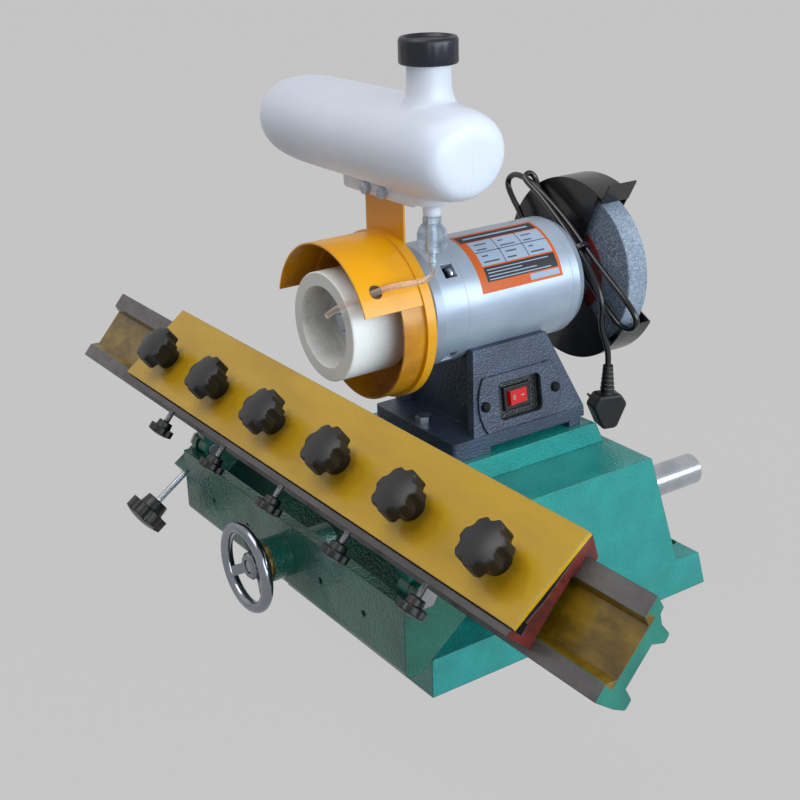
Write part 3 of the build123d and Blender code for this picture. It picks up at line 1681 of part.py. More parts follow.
# ================================================================ nodes
save("base_casting", make_base_casting())
save("front_trough", make_front_trough())
save("guide_bars", make_guide_bars())
save("screw_bush", make_screw_bush())
save("pivot_bolts", make_pivot_bolts())
save("lead_screw", make_lead_screw())
save("handwheel", make_handwheel())
save("beam", make_beam())
save("tilt_screw", make_tilt_screw())
save("tilt_knob", make_tilt_knob())
save("carriage", make_carriage())
save("clamp_studs", make_clamp_studs())
save("clamp_plate", make_clamp_plate())
for number, station in enumerate(knob_stations(), start=1):
    save(f"star_knob_{number}", make_star_knob(station))
for number, station in enumerate(push_stations(), start=1):
    save(f"push_screw_{number}", make_push_screw(station))
save("saddle_casting", make_saddle_casting())
save("slide_bracket", make_slide_bracket())
save("slide_bushes", make_slide_bushes())
save("feed_nut", make_feed_nut())
save("pedestal", make_pedestal())
save("pedestal_bolts", make_pedestal_bolts())
save("capacitor", make_capacitor())
save("switch_cover", make_switch_cover())
save("switch_bezel", make_switch_bezel())
save("switch_rocker", make_switch_rocker())
save("motor_shell", make_motor_shell())
save("bell_front", make_bell_front())
save("bell_rear", make_bell_rear())
save("stator", make_stator())
save("rotor_core", make_rotor_core())
save("bearings", make_bearings())
save("shaft", make_shaft())
save("case_screws", make_case_screws())
save("cup_wheel", make_cup_wheel())
save("dry_wheel", make_dry_wheel())
save("wheel_flanges", make_wheel_flanges())
save("spindle_nuts", make_spindle_nuts())
save("guard_screws", make_guard_screws())
save("wet_guard", make_wet_guard())
save("tank_bracket", make_tank_bracket())
save("water_tank", make_water_tank())
save("tank_bolts", make_tank_bolts())
save("tank_cap", make_tank_cap())
save("cock_body", make_cock_body())
save("cock_handle", make_cock_handle())
save("dry_guard", make_dry_guard())
save("spark_plate", make_spark_plate())
save("cord_gland", make_cord_gland())
save("mains_cord", soft_tube(cord_points(), cord_radius, "mains cord"))
save("mains_plug", make_mains_plug())
save("water_hose", soft_tube(hose_points(), hose_radius, "water hose"))
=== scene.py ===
"""Wet grinding sharpener: finishes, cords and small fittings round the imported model.

Every length is in metres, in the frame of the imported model: X runs along the
beam, the operator stands at -Y, and Z is up.
"""

from __future__ import annotations

import json
import logging
import math
from dataclasses import dataclass
from enum import Enum
from typing import Iterable, Sequence

import bmesh
import bpy
from mathutils import Matrix, Vector

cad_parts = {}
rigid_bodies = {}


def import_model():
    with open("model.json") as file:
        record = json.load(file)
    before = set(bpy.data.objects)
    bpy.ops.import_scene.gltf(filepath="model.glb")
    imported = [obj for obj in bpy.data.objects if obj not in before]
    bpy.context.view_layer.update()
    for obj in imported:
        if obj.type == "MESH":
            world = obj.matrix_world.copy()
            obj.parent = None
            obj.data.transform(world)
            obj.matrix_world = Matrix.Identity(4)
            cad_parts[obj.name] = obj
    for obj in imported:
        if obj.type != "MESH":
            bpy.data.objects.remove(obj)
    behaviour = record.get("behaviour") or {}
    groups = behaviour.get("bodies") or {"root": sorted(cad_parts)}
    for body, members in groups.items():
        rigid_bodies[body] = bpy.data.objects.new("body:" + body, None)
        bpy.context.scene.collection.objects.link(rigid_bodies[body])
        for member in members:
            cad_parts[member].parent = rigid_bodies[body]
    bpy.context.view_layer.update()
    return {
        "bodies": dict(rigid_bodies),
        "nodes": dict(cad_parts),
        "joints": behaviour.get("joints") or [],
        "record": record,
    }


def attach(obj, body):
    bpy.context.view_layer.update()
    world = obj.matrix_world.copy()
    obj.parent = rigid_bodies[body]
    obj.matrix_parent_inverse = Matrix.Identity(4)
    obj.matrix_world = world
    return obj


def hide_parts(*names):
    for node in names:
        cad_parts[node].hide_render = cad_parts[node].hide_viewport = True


LOG = logging.getLogger("sharpener")
Colour = tuple[float, float, float]
Point = tuple[float, float, float]
Node = bpy.types.Node
Socket = bpy.types.NodeSocket

# Directions and places that several sub-assemblies share.
X_AXIS = Vector((1.0, 0.0, 0.0))
Y_AXIS = Vector((0.0, 1.0, 0.0))
Z_AXIS = Vector((0.0, 0.0, 1.0))
TO_OPERATOR = (0.0, -1.0, 0.0)
MOTOR_HEIGHT = 0.305
SLOPE = math.radians(48.8)
RAIL_ORIGIN = Vector((0.0, -0.2145, 0.209))
UP_SLOPE = Vector((0.0, math.cos(SLOPE), math.sin(SLOPE)))
OFF_RAILS = Vector((0.0, -math.sin(SLOPE), math.cos(SLOPE)))
SWITCH_CENTRE = (0.05595, -0.0175, 0.220)
SWITCH_LEAN = math.radians(9.03)
SWITCH_OUT = Vector((math.cos(SWITCH_LEAN), 0.0, math.sin(SWITCH_LEAN)))
TANK_MIDDLE_Y = -0.1205
# Vertices nearer than this are one.
MERGE = 1e-7


class Body(Enum):
    """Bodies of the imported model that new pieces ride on."""

    SADDLE = "saddle"
    ROTOR = "rotor"
    ROCKER = "switch_rocker"
    CAP = "tank_cap"
    TILT_SCREW = "tilt_screw"


class Slot(Enum):
    """Material slots of the record, named for new pieces."""

    STEEL = "steel"
    ZINC = "zinc"
    BLACK = "black_plastic"
    SILVER = "silver_paint"
    STONE = "grey_stone"
    TANK = "tank_plastic"
    RED = "red_plastic"
    RUBBER = "rubber"
    HOSE = "clear_hose"


def srgb(red: int, green: int, blue: int) -> Colour:
    """Linear colour of a display colour.

    Args:
        red: Red, 0 to 255.
        green: Green, 0 to 255.
        blue: Blue, 0 to 255.

    Returns:
        The three linear values.
    """

    def linear(level: int) -> float:
        """One channel as a linear value."""
        part = level / 255
        return part / 12.92 if part <= 0.04045 else ((part + 0.055) / 1.055) ** 2.4

    return linear(red), linear(green), linear(blue)


def toned(colour: Colour, share: float, lift: float = 0.0) -> Colour:
    """A colour's darker or brighter neighbour.

    Args:
        colour: The colour.
        share: What each channel is multiplied by.
        lift: What is then added to it.

    Returns:
        The new colour, no brighter than white.
    """
    red, green, blue = (min(1.0, part * share + lift) for part in colour)
    return red, green, blue


# ---------------------------------------------------------------- node groups
class Wiring:
    """Adds nodes to one tree and joins them."""

    def __init__(self, tree: bpy.types.NodeTree) -> None:
        """Start on a tree."""
        self.tree = tree

    def add(self, kind: str, **settings: object) -> Node:
        """Add a node.

        Args:
            kind: Node type without its ShaderNode prefix.
            **settings: Properties of the node, by name.

        Returns:
            The new node.
        """
        node = self.tree.nodes.new("ShaderNode" + kind)
        for name, value in settings.items():
            setattr(node, name, value)
        return node

    def feed(self, socket: Socket, value: object) -> None:
        """Link a socket into an input, or set the input's own value.

        Args:
            socket: The input.
            value: A socket, a colour, a vector or a number.
        """
        if isinstance(value, Socket):
            self.tree.links.new(value, socket)
        elif isinstance(value, tuple) and len(value) == 3 and socket.type == "RGBA":
            socket.default_value = (*value, 1.0)
        else:
            socket.default_value = value

    def math(self, operation: str, first: object, second: object = 0.0) -> Socket:
        """Result of a Math node.

        Args:
            operation: Its operation.
            first: Socket or number.
            second: Socket or number.

        Returns:
            The result.
        """
        node = self.add("Math", operation=operation)
        self.feed(node.inputs[0], first)
        self.feed(node.inputs[1], second)
        return node.outputs[0]

    def times(self, first: object, second: object) -> Socket:
        """Product of two sockets or numbers."""
        return self.math("MULTIPLY", first, second)

    def reach(self, first: object, second: object) -> Socket:
        """Length of the diagonal of two distances at right angles."""
        squares = self.math("ADD", self.math("POWER", first, 2.0), self.math("POWER", second, 2.0))
        return self.math("POWER", squares, 0.5)

    def mix(self, factor: object, first: object, second: object) -> Socket:
        """Colour between two colours.

        Args:
            factor: Share of the second colour.
            first: Socket or colour.
            second: Socket or colour.

        Returns:
            The colour.
        """
        node = self.add("Mix", data_type="RGBA")
        self.feed(node.inputs[0], factor)
        self.feed(node.inputs[6], first)
        self.feed(node.inputs[7], second)
        return node.outputs[2]

    def ramp(self, value: object, low: float, high: float, start: float = 0.0, end: float = 1.0) -> Socket:
        """Value moved from one range to another and held at both ends.

        Args:
            value: Socket or number.
            low: Value that gives the start.
            high: Value that gives the end, which may be the smaller one.
            start: Result at low.
            end: Result at high.

        Returns:
            The result.
        """
        node = self.add("MapRange", clamp=True)
        for socket, number in zip(node.inputs, (value, low, high, start, end)):
            self.feed(socket, number)
        return node.outputs[0]

    def noise(self, vector: Socket, scale: object, detail: float = 2.0) -> Node:
        """Noise texture.

        Args:
            vector: Its coordinates.
            scale: Its scale, a socket or number.
            detail: Octaves.

        Returns:
            The texture node.
        """
        node = self.add("TexNoise")
        self.feed(node.inputs["Vector"], vector)
        self.feed(node.inputs["Scale"], scale)
        node.inputs["Detail"].default_value = detail
        return node

    def dot(self, first: Socket, second: object) -> Socket:
        """Dot product of a vector and another, or a fixed direction.

        Args:
            first: Vector socket.
            second: Vector socket or direction.

        Returns:
            The product.
        """
        node = self.add("VectorMath", operation="DOT_PRODUCT")
        self.feed(node.inputs[0], first)
        self.feed(node.inputs[1], second)
        return node.outputs["Value"]

    def along(self, direction: Vector | Point, origin: Vector | Point = (0.0, 0.0, 0.0)) -> Socket:
        """Distance of the surface point from an origin, along a direction.

        Args:
            direction: The direction, of length one.
            origin: Where the distance is nought.

        Returns:
            The distance.
        """
        shifted = self.add("VectorMath", operation="SUBTRACT")
        self.feed(shifted.inputs[0], self.place())
        shifted.inputs[1].default_value = tuple(origin)
        return self.dot(shifted.outputs[0], direction)

    def facing(self, direction: Vector | Point) -> Socket:
        """How far the true surface faces a direction, from -1 to 1."""
        return self.dot(self.add("NewGeometry").outputs["True Normal"], direction)

    def place(self, scale: Point = (1.0, 1.0, 1.0)) -> Socket:
        """Object coordinates.

        Args:
            scale: What each coordinate is multiplied by, less than one to draw a pattern out.

        Returns:
            The coordinates.
        """
        coordinate = self.add("TexCoord").outputs["Object"]
        if scale == (1.0, 1.0, 1.0):
            return coordinate
        mapping = self.add("Mapping", vector_type="POINT")
        self.feed(mapping.inputs["Vector"], coordinate)
        mapping.inputs["Scale"].default_value = scale
        return mapping.outputs[0]

    def radius(self) -> Socket:
        """Distance from the spindle's axis."""
        return self.reach(self.along(X_AXIS), self.along(Z_AXIS, (0.0, 0.0, MOTOR_HEIGHT)))

    def effect(self, name: str, **values: object) -> Node:
        """Place one of the shared node groups.

        Args:
            name: Name of the group.
            **values: Its inputs.

        Returns:
            The group node.
        """
        node = self.tree.nodes.new("ShaderNodeGroup")
        node.node_tree = bpy.data.node_groups[name]
        for key, value in values.items():
            self.feed(node.inputs[key], value)
        return node


class Effects:
    """Node groups that several finishes share."""

    @staticmethod
    def _group(name: str, inputs: dict[str, float], outputs: Sequence[str]) -> tuple[Wiring, Node, Node]:
        """Make an empty group that reads a Vector.

        Args:
            name: Name of the group.
            inputs: Default of each further input.
            outputs: Name of each output.

        Returns:
            The wiring of the group, its input node and its output node.
        """
        tree = bpy.data.node_groups.new(name, "ShaderNodeTree")
        tree.interface.new_socket("Vector", in_out="INPUT", socket_type="NodeSocketVector")
        for key, value in inputs.items():
            socket = tree.interface.new_socket(key, in_out="INPUT", socket_type="NodeSocketFloat")
            socket.default_value = value
        for key in outputs:
            kind = "NodeSocketVector" if key == "Normal" else "NodeSocketFloat"
            tree.interface.new_socket(key, in_out="OUTPUT", socket_type=kind)
        return Wiring(tree), tree.nodes.new("NodeGroupInput"), tree.nodes.new("NodeGroupOutput")

    @classmethod
    def build(cls) -> None:
        """Build every shared group once."""
        cls._grain()
        cls._hammer()
        cls._edges()
        cls._streaks()
        cls._grime()

    @classmethod
    def _grain(cls) -> None:
        """Fine moulded or sprayed grain: a soft value and a height."""
        w, given, out = cls._group("Grain", {"Scale": 300.0, "Blotch": 20.0}, ("Value", "Height"))
        fine = w.noise(given.outputs["Vector"], given.outputs["Scale"], detail=3.0)
        broad = w.noise(given.outputs["Vector"], given.outputs["Blotch"], detail=4.0)
        w.feed(out.inputs["Value"], w.ramp(broad.outputs[0], 0.32, 0.68))
        w.feed(out.inputs["Height"], fine.outputs[0])

    @classmethod
    def _hammer(cls) -> None:
        """Hammered enamel: smooth dimples on warped cells, and a mask of their rims for a painted highlight.
        """
        warp_scale, warp_cells = 0.45, 0.9
        w, given, out = cls._group("Hammer", {"Scale": 260.0}, ("Height", "Rim"))
        warp = w.noise(given.outputs["Vector"], w.times(given.outputs["Scale"], warp_scale))
        shift = w.add("VectorMath", operation="SCALE")
        w.feed(shift.inputs[0], warp.outputs["Color"])
        w.feed(shift.inputs["Scale"], w.math("DIVIDE", warp_cells, given.outputs["Scale"]))
        moved = w.add("VectorMath", operation="ADD")
        w.feed(moved.inputs[0], given.outputs["Vector"])
        w.feed(moved.inputs[1], shift.outputs[0])
        cells = w.add("TexVoronoi", feature="SMOOTH_F1")
        w.feed(cells.inputs["Vector"], moved.outputs[0])
        w.feed(cells.inputs["Scale"], given.outputs["Scale"])
        cells.inputs["Smoothness"].default_value = 0.6
        w.feed(out.inputs["Height"], cells.outputs["Distance"])
        w.feed(out.inputs["Rim"], w.ramp(cells.outputs["Distance"], 0.35, 0.75))

    @classmethod
    def _edges(cls) -> None:
        """Rounded normals and a mask of worn edges, broken up by noise."""
        all_worn, edge_help = 1.2, 0.5
        w, given, out = cls._group("Edges", {"Radius": 0.001, "Wear": 0.5}, ("Mask", "Normal"))
        bevel = w.add("Bevel", samples=6)
        w.feed(bevel.inputs["Radius"], given.outputs["Radius"])
        turned = w.ramp(w.dot(bevel.outputs[0], w.add("NewGeometry").outputs["Normal"]), 0.99, 0.80)
        noise = w.noise(given.outputs["Vector"], 130.0, detail=5.0)
        broken = w.math("ADD", noise.outputs[0], w.times(turned, edge_help))
        limit = w.math("SUBTRACT", all_worn, given.outputs["Wear"])
        chipped = w.ramp(w.math("SUBTRACT", broken, limit), -0.03, 0.05)
        w.feed(out.inputs["Mask"], w.times(chipped, w.ramp(turned, 0.1, 0.5)))
        w.feed(out.inputs["Normal"], bevel.outputs[0])

    @classmethod
    def _streaks(cls) -> None:
        """Grinding lines: a height and a slow mottling."""
        w, given, out = cls._group("Streaks", {"Fine": 900.0}, ("Height", "Mottle"))
        fine = w.noise(given.outputs["Vector"], given.outputs["Fine"], detail=4.0)
        slow = w.noise(given.outputs["Vector"], 45.0, detail=6.0)
        w.feed(out.inputs["Height"], fine.outputs[0])
        w.feed(out.inputs["Mottle"], w.ramp(slow.outputs[0], 0.35, 0.65))

    @classmethod
    def _grime(cls) -> None:
        """Dirt that gathers in patches."""
        w, given, out = cls._group("Grime", {"Scale": 14.0, "Amount": 0.5}, ("Mask",))
        patches = w.noise(given.outputs["Vector"], given.outputs["Scale"], detail=8.0)
        patches.inputs["Roughness"].default_value = 0.65
        limit = w.math("SUBTRACT", 1.0, given.outputs["Amount"])
        w.feed(out.inputs["Mask"], w.ramp(w.math("SUBTRACT", patches.outputs[0], limit), -0.08, 0.14))


# ---------------------------------------------------------------- finishes
@dataclass(frozen=True)
class Finish:
    """A finish of one colour family.

    Attributes:
        name: Name of the material.
        colour: Main colour.
        shade: Colour of its darker patches.
        roughness: Middle roughness.
        metallic: Metallic, the same all over.
        coat: Coat weight, the same all over.
        bump: Height of the grain, in metres.
        grain: Scale of the grain.
        blotch: Scale of the patches.
        edge: Radius that its sharp edges look rounded to, in metres.
        wear: How far its edges are rubbed through.
    """

    name: str
    colour: Colour
    shade: Colour
    roughness: float = 0.4
    metallic: float = 0.0
    coat: float = 0.0
    bump: float = 0.00005
    grain: float = 900.0
    blotch: float = 25.0
    edge: float = 0.0006
    wear: float = 0.3

    COAT_ROUGHNESS = 0.08

    def start(self) -> tuple[bpy.types.Material, Wiring, Node]:
        """Make the material with its shader, whose constants are set on its own sockets.

        Returns:
            The material, the wiring of its tree and its shader.
        """
        material = bpy.data.materials.new(self.name)
        material.use_nodes = True
        tree = material.node_tree
        tree.nodes.clear()
        wiring = Wiring(tree)
        shader = wiring.add("BsdfPrincipled")
        output = wiring.add("OutputMaterial")
        tree.links.new(shader.outputs[0], output.inputs["Surface"])
        shader.inputs["Metallic"].default_value = self.metallic
        shader.inputs["Coat Weight"].default_value = self.coat
        shader.inputs["Coat Roughness"].default_value = self.COAT_ROUGHNESS
        return material, wiring, shader

    def grained(self, w: Wiring, here: Socket) -> tuple[Node, Socket]:
        """Grain of the finish and the colour that follows it.

        Args:
            w: Wiring of the material.
            here: Coordinates.

        Returns:
            The grain's node and the colour.
        """
        grain = w.effect("Grain", Vector=here, Scale=self.grain, Blotch=self.blotch)
        return grain, w.mix(grain.outputs["Value"], self.shade, self.colour)

    def edged(self, w: Wiring, here: Socket) -> Node:
        """Worn and rounded edges of the finish."""
        return w.effect("Edges", Vector=here, Radius=self.edge, Wear=self.wear)

    def gloss(self, w: Wiring, mask: Socket, low: float, high: float) -> Socket:
        """Roughness that follows a mask.

        Args:
            w: Wiring of the material.
            mask: The mask.
            low: Share of the finish's own roughness where the mask is nought.
            high: Share where it is one.

        Returns:
            The roughness.
        """
        return w.ramp(mask, 0.0, 1.0, self.roughness * low, self.roughness * high)

    @staticmethod
    def bumped(w: Wiring, height: object, depth: float, normal: object = None) -> Socket:
        """Normal of a height.

        Args:
            w: Wiring of the material.
            height: The height, from 0 to 1.
            depth: What a height of 1 measures, in metres.
            normal: Rounded normal that it lies over.

        Returns:
            The normal.
        """
        node = w.add("Bump")
        node.inputs["Strength"].default_value = 1.0
        node.inputs["Distance"].default_value = depth
        w.feed(node.inputs["Height"], height)
        if normal is not None:
            w.feed(node.inputs["Normal"], normal)
        return node.outputs[0]

    def make(self) -> bpy.types.Material:
        """Plain moulded or machined surface with grain and patches.

        Returns:
            The material.
        """
        material, w, shader = self.start()
        here = w.place()
        grain, colour = self.grained(w, here)
        rounded = self.edged(w, here).outputs["Normal"]
        w.feed(shader.inputs["Base Color"], colour)
        w.feed(shader.inputs["Roughness"], self.gloss(w, grain.outputs["Value"], 1.2, 0.85))
        w.feed(shader.inputs["Normal"], self.bumped(w, grain.outputs["Height"], self.bump, rounded))
        return material


@dataclass(frozen=True)
class HammeredEnamel(Finish):
    """Hammered enamel on a casting, chipped at its edges.

    Attributes:
        cell: Scale of the dimples.
        depth: Depth of the dimples, in metres.
        chip: Colour under the chips.
        dirt: Amount of grime.
    """

    edge: float = 0.0016
    wear: float = 0.42
    cell: float = 520.0
    depth: float = 0.00022
    chip: Colour = (0.02, 0.02, 0.02)
    dirt: float = 0.38

    GRIME_SCALE = 11.0
    GRIMY_ROUGHNESS = 0.6
    RIM_HIGHLIGHT_SHARE = 0.10
    STEEP_SHARE = 0.45

    def make(self) -> bpy.types.Material:
        """Dimples with painted highlights on their rims, patches, chipped edges and grime, most of it on
        level faces.

        Returns:
            The material.
        """
        material, w, shader = self.start()
        here = w.place()
        hammer = w.effect("Hammer", Vector=here, Scale=self.cell)
        _, colour = self.grained(w, here)
        edges = self.edged(w, here)
        grime = w.effect("Grime", Vector=here, Scale=self.GRIME_SCALE, Amount=self.dirt).outputs[0]
        level = w.ramp(w.facing(Z_AXIS), 0.3, 0.9, self.STEEP_SHARE, 1.0)
        # Painted highlight: the dimples' rims are lightened.
        rim = w.times(hammer.outputs["Rim"], self.RIM_HIGHLIGHT_SHARE)
        colour = w.mix(rim, colour, toned(self.colour, 1.5, 0.01))
        colour = w.mix(w.times(grime, level), colour, toned(self.shade, 0.35, 0.01))
        colour = w.mix(edges.outputs["Mask"], colour, self.chip)
        w.feed(shader.inputs["Base Color"], self.over(w, colour))
        w.feed(shader.inputs["Roughness"], w.ramp(grime, 0.0, 1.0, self.roughness, self.GRIMY_ROUGHNESS))
        dimples = self.bumped(w, hammer.outputs["Height"], self.depth, edges.outputs["Normal"])
        w.feed(shader.inputs["Normal"], dimples)
        return material

    def over(self, w: Wiring, colour: Socket) -> Socket:
        """Colour as it is, for a casting of one tone."""
        return colour


@dataclass(frozen=True)
class SunkenCasting(HammeredEnamel):
    """Hammered enamel on the switch cover, with painted shade in the pocket behind its face.

    Attributes:
        pocket_shade: Colour of the painted shade in the pocket.
        fade: Depth over which the face turns into the painted shade.
    """

    pocket_shade: Colour = (0.006, 0.006, 0.008)
    fade: float = 0.0008

    def over(self, w: Wiring, colour: Socket) -> Socket:
        """Colour that turns to painted shade below the face."""
        behind = w.along(SWITCH_OUT, SWITCH_CENTRE)
        # Painted shade: behind the cover's face the colour goes nearly black.
        return w.mix(w.ramp(behind, 0.0, -self.fade), colour, self.pocket_shade)


@dataclass(frozen=True)
class WornPaint(Finish):
    """Brushed-on paint on the clamp plate, rubbed through at its edges.

    Attributes:
        metal: Colour where it is rubbed through.
        dirt_colour: Colour of its smudges.
        dirt: Amount of smudges.
        knob_reflection: Colour of the painted reflection of each knob, beside it.
        patch_start: Place along the beam from which the patches are counted.
        patch_pitch: Distance from one patch to the next.
        patch_up: Place of the patches up the slope.
        patch_radius: Radius of a patch.
        patch_ragged: How far a patch's edge wanders.
        patch_fade: Half width of its soft edge.
    """

    edge: float = 0.0011
    wear: float = 0.52
    metal: Colour = (0.16, 0.15, 0.15)
    dirt_colour: Colour = (0.10, 0.07, 0.03)
    dirt: float = 0.44
    knob_reflection: Colour = (0.5, 0.3, 0.02)
    patch_start: float = -0.243
    patch_pitch: float = 0.1
    patch_up: float = -0.002
    patch_radius: float = 0.017
    patch_ragged: float = 0.012
    patch_fade: float = 0.002

    LONG = (0.28, 1.0, 1.0)
    SMUDGE_SHARE = 0.3
    KNOB_REFLECTION_SHARE = 0.75

    def patches(self, w: Wiring) -> Socket:
        """Mask of the painted reflection of each clamp knob, beside it.

        Args:
            w: Wiring of the material.

        Returns:
            The mask.
        """
        along = w.along(X_AXIS, (self.patch_start, 0.0, 0.0))
        turn = w.math("SUBTRACT", w.math("FRACT", w.math("DIVIDE", along, self.patch_pitch)), 0.5)
        rise = w.along(UP_SLOPE, RAIL_ORIGIN + UP_SLOPE * self.patch_up)
        far = w.reach(w.times(turn, self.patch_pitch), rise)
        wander = w.math("SUBTRACT", w.noise(w.place(), 90.0).outputs[0], 0.5)
        ragged = w.math("ADD", far, w.times(wander, self.patch_ragged))
        return w.ramp(ragged, self.patch_radius + self.patch_fade, self.patch_radius - self.patch_fade)

    def make(self) -> bpy.types.Material:
        """Paint with long smears, dark smudges, bare edges and painted reflections of the knobs.

        Returns:
            The material.
        """
        material, w, shader = self.start()
        drawn_out = w.place(self.LONG)
        streaks = w.effect("Streaks", Vector=drawn_out, Fine=420.0)
        grime = w.effect("Grime", Vector=drawn_out, Scale=16.0, Amount=self.dirt)
        edges = self.edged(w, w.place())
        mottle = streaks.outputs["Mottle"]
        colour = w.mix(mottle, self.shade, self.colour)
        colour = w.mix(w.times(grime.outputs[0], self.SMUDGE_SHARE), colour, self.dirt_colour)
        # Painted reflection: a darker, deeper yellow beside each knob, where the knob's image lies in the
        # plate.
        colour = w.mix(w.times(self.patches(w), self.KNOB_REFLECTION_SHARE), colour, self.knob_reflection)
        colour = w.mix(edges.outputs["Mask"], colour, self.metal)
        w.feed(shader.inputs["Base Color"], colour)
        w.feed(shader.inputs["Roughness"], self.gloss(w, mottle, 1.25, 0.85))
        lines = self.bumped(w, streaks.outputs["Height"], self.bump, edges.outputs["Normal"])
        w.feed(shader.inputs["Normal"], lines)
        return material


@dataclass(frozen=True)
class Region:
    """Where a second finish shows on a casting.

    Attributes:
        direction: Way the faces look.
        low: Lowest distance along the direction from the rails' origin.
        high: Highest distance.
        across: Half width up the slope, or 0 for any.
        colour: Its colour.
        shade: Its darker colour.
        dirt: How much dirt lies on it.
        facing: Whether only faces that look that way take it.
    """

    direction: Point
    low: float
    high: float
    across: float
    colour: Colour
    shade: Colour
    dirt: float
    facing: bool = True

    def mask(self, w: Wiring) -> Socket:
        """One on the region and nought elsewhere.

        Args:
            w: Wiring of the material.

        Returns:
            The mask.
        """
        depth = w.along(self.direction, RAIL_ORIGIN)
        mask = w.math("GREATER_THAN", depth, self.low)
        if self.facing:
            mask = w.times(mask, w.ramp(w.facing(self.direction), 0.93, 0.97))
        mask = w.times(mask, w.math("LESS_THAN", depth, self.high))
        if self.across:
            side = w.math("ABSOLUTE", w.along(UP_SLOPE, RAIL_ORIGIN))
            mask = w.times(mask, w.math("LESS_THAN", side, self.across))
        return mask


@dataclass(frozen=True)
class MachinedCasting(Finish):
    """Painted or bare casting with machined or repainted faces.

    Attributes:
        regions: The faces with a look of their own.
        hammered: Whether the rest is hammered enamel.
        chip: Colour of its worn edges.
    """

    edge: float = 0.0012
    wear: float = 0.42
    regions: tuple[Region, ...] = ()
    hammered: bool = True
    chip: Colour = (0.05, 0.05, 0.05)

    GROUND_LINES = (0.16, 1.0, 1.0)
    DIRT_RUNS = (0.7, 1.0, 1.0)
    RELIEF = 0.00009
    DIMPLE_SHARE = 2.4

    def make(self) -> bpy.types.Material:
        """Casting colour, with each region's own colour and lines over it.

        Returns:
            The material.
        """
        material, w, shader = self.start()
        here = w.place()
        hammer = w.effect("Hammer", Vector=here, Scale=520.0)
        streaks = w.effect("Streaks", Vector=w.place(self.GROUND_LINES), Fine=1100.0)
        grime = w.effect("Grime", Vector=w.place(self.DIRT_RUNS), Scale=60.0, Amount=0.5).outputs[0]
        edges = self.edged(w, here)
        _, colour = self.grained(w, here)
        machined: object = 0.0 if self.hammered else 1.0
        for region in self.regions:
            mask = region.mask(w)
            face = w.mix(streaks.outputs["Mottle"], region.shade, region.colour)
            face = w.mix(w.times(grime, region.dirt), face, toned(region.shade, 0.16))
            colour = w.mix(mask, colour, face)
            machined = w.math("MAXIMUM", machined, mask)
        w.feed(shader.inputs["Base Color"], w.mix(edges.outputs["Mask"], colour, self.chip))
        w.feed(shader.inputs["Roughness"], self.gloss(w, grime, 1.0, 1.3))
        height = w.add("Mix", data_type="FLOAT")
        w.feed(height.inputs[0], machined)
        w.feed(height.inputs[2], w.times(hammer.outputs["Height"], self.DIMPLE_SHARE))
        w.feed(height.inputs[3], streaks.outputs["Height"])
        relief = self.bumped(w, height.outputs[0], self.RELIEF, edges.outputs["Normal"])
        w.feed(shader.inputs["Normal"], relief)
        return material


@dataclass(frozen=True)
class RoundFinish(Finish):
    """Finish of a round part on the spindle, with its own look near the axis.

    Attributes:
        inner_radius: Radius within which the inner colour shows.
        inner: The inner colour; on the wet guard a darker yellow, painted shade of its inside.
    """

    edge: float = 0.0008
    wear: float = 0.35
    inner_radius: float = 0.0
    inner: Colour = (0.1, 0.1, 0.1)

    def make(self) -> bpy.types.Material:
        """Grained colour with a second, patchy colour inside the radius, which on the wet guard is painted
        shade.

        Returns:
            The material.
        """
        material, w, shader = self.start()
        here = w.place()
        grain, colour = self.grained(w, here)
        rounded = self.edged(w, here).outputs["Normal"]
        grime = w.effect("Grime", Vector=here, Scale=30.0, Amount=0.5).outputs[0]
        inside = w.math("LESS_THAN", w.radius(), self.inner_radius)
        # Inside the radius a darker, patchy colour: on the wet guard this is painted shade.
        colour = w.mix(w.times(inside, w.ramp(grime, 0.0, 1.0, 0.45, 1.0)), colour, self.inner)
        w.feed(shader.inputs["Base Color"], colour)
        w.feed(shader.inputs["Roughness"], self.gloss(w, grime, 1.0, 1.35))
        w.feed(shader.inputs["Normal"], self.bumped(w, grain.outputs["Height"], self.bump, rounded))
        return material


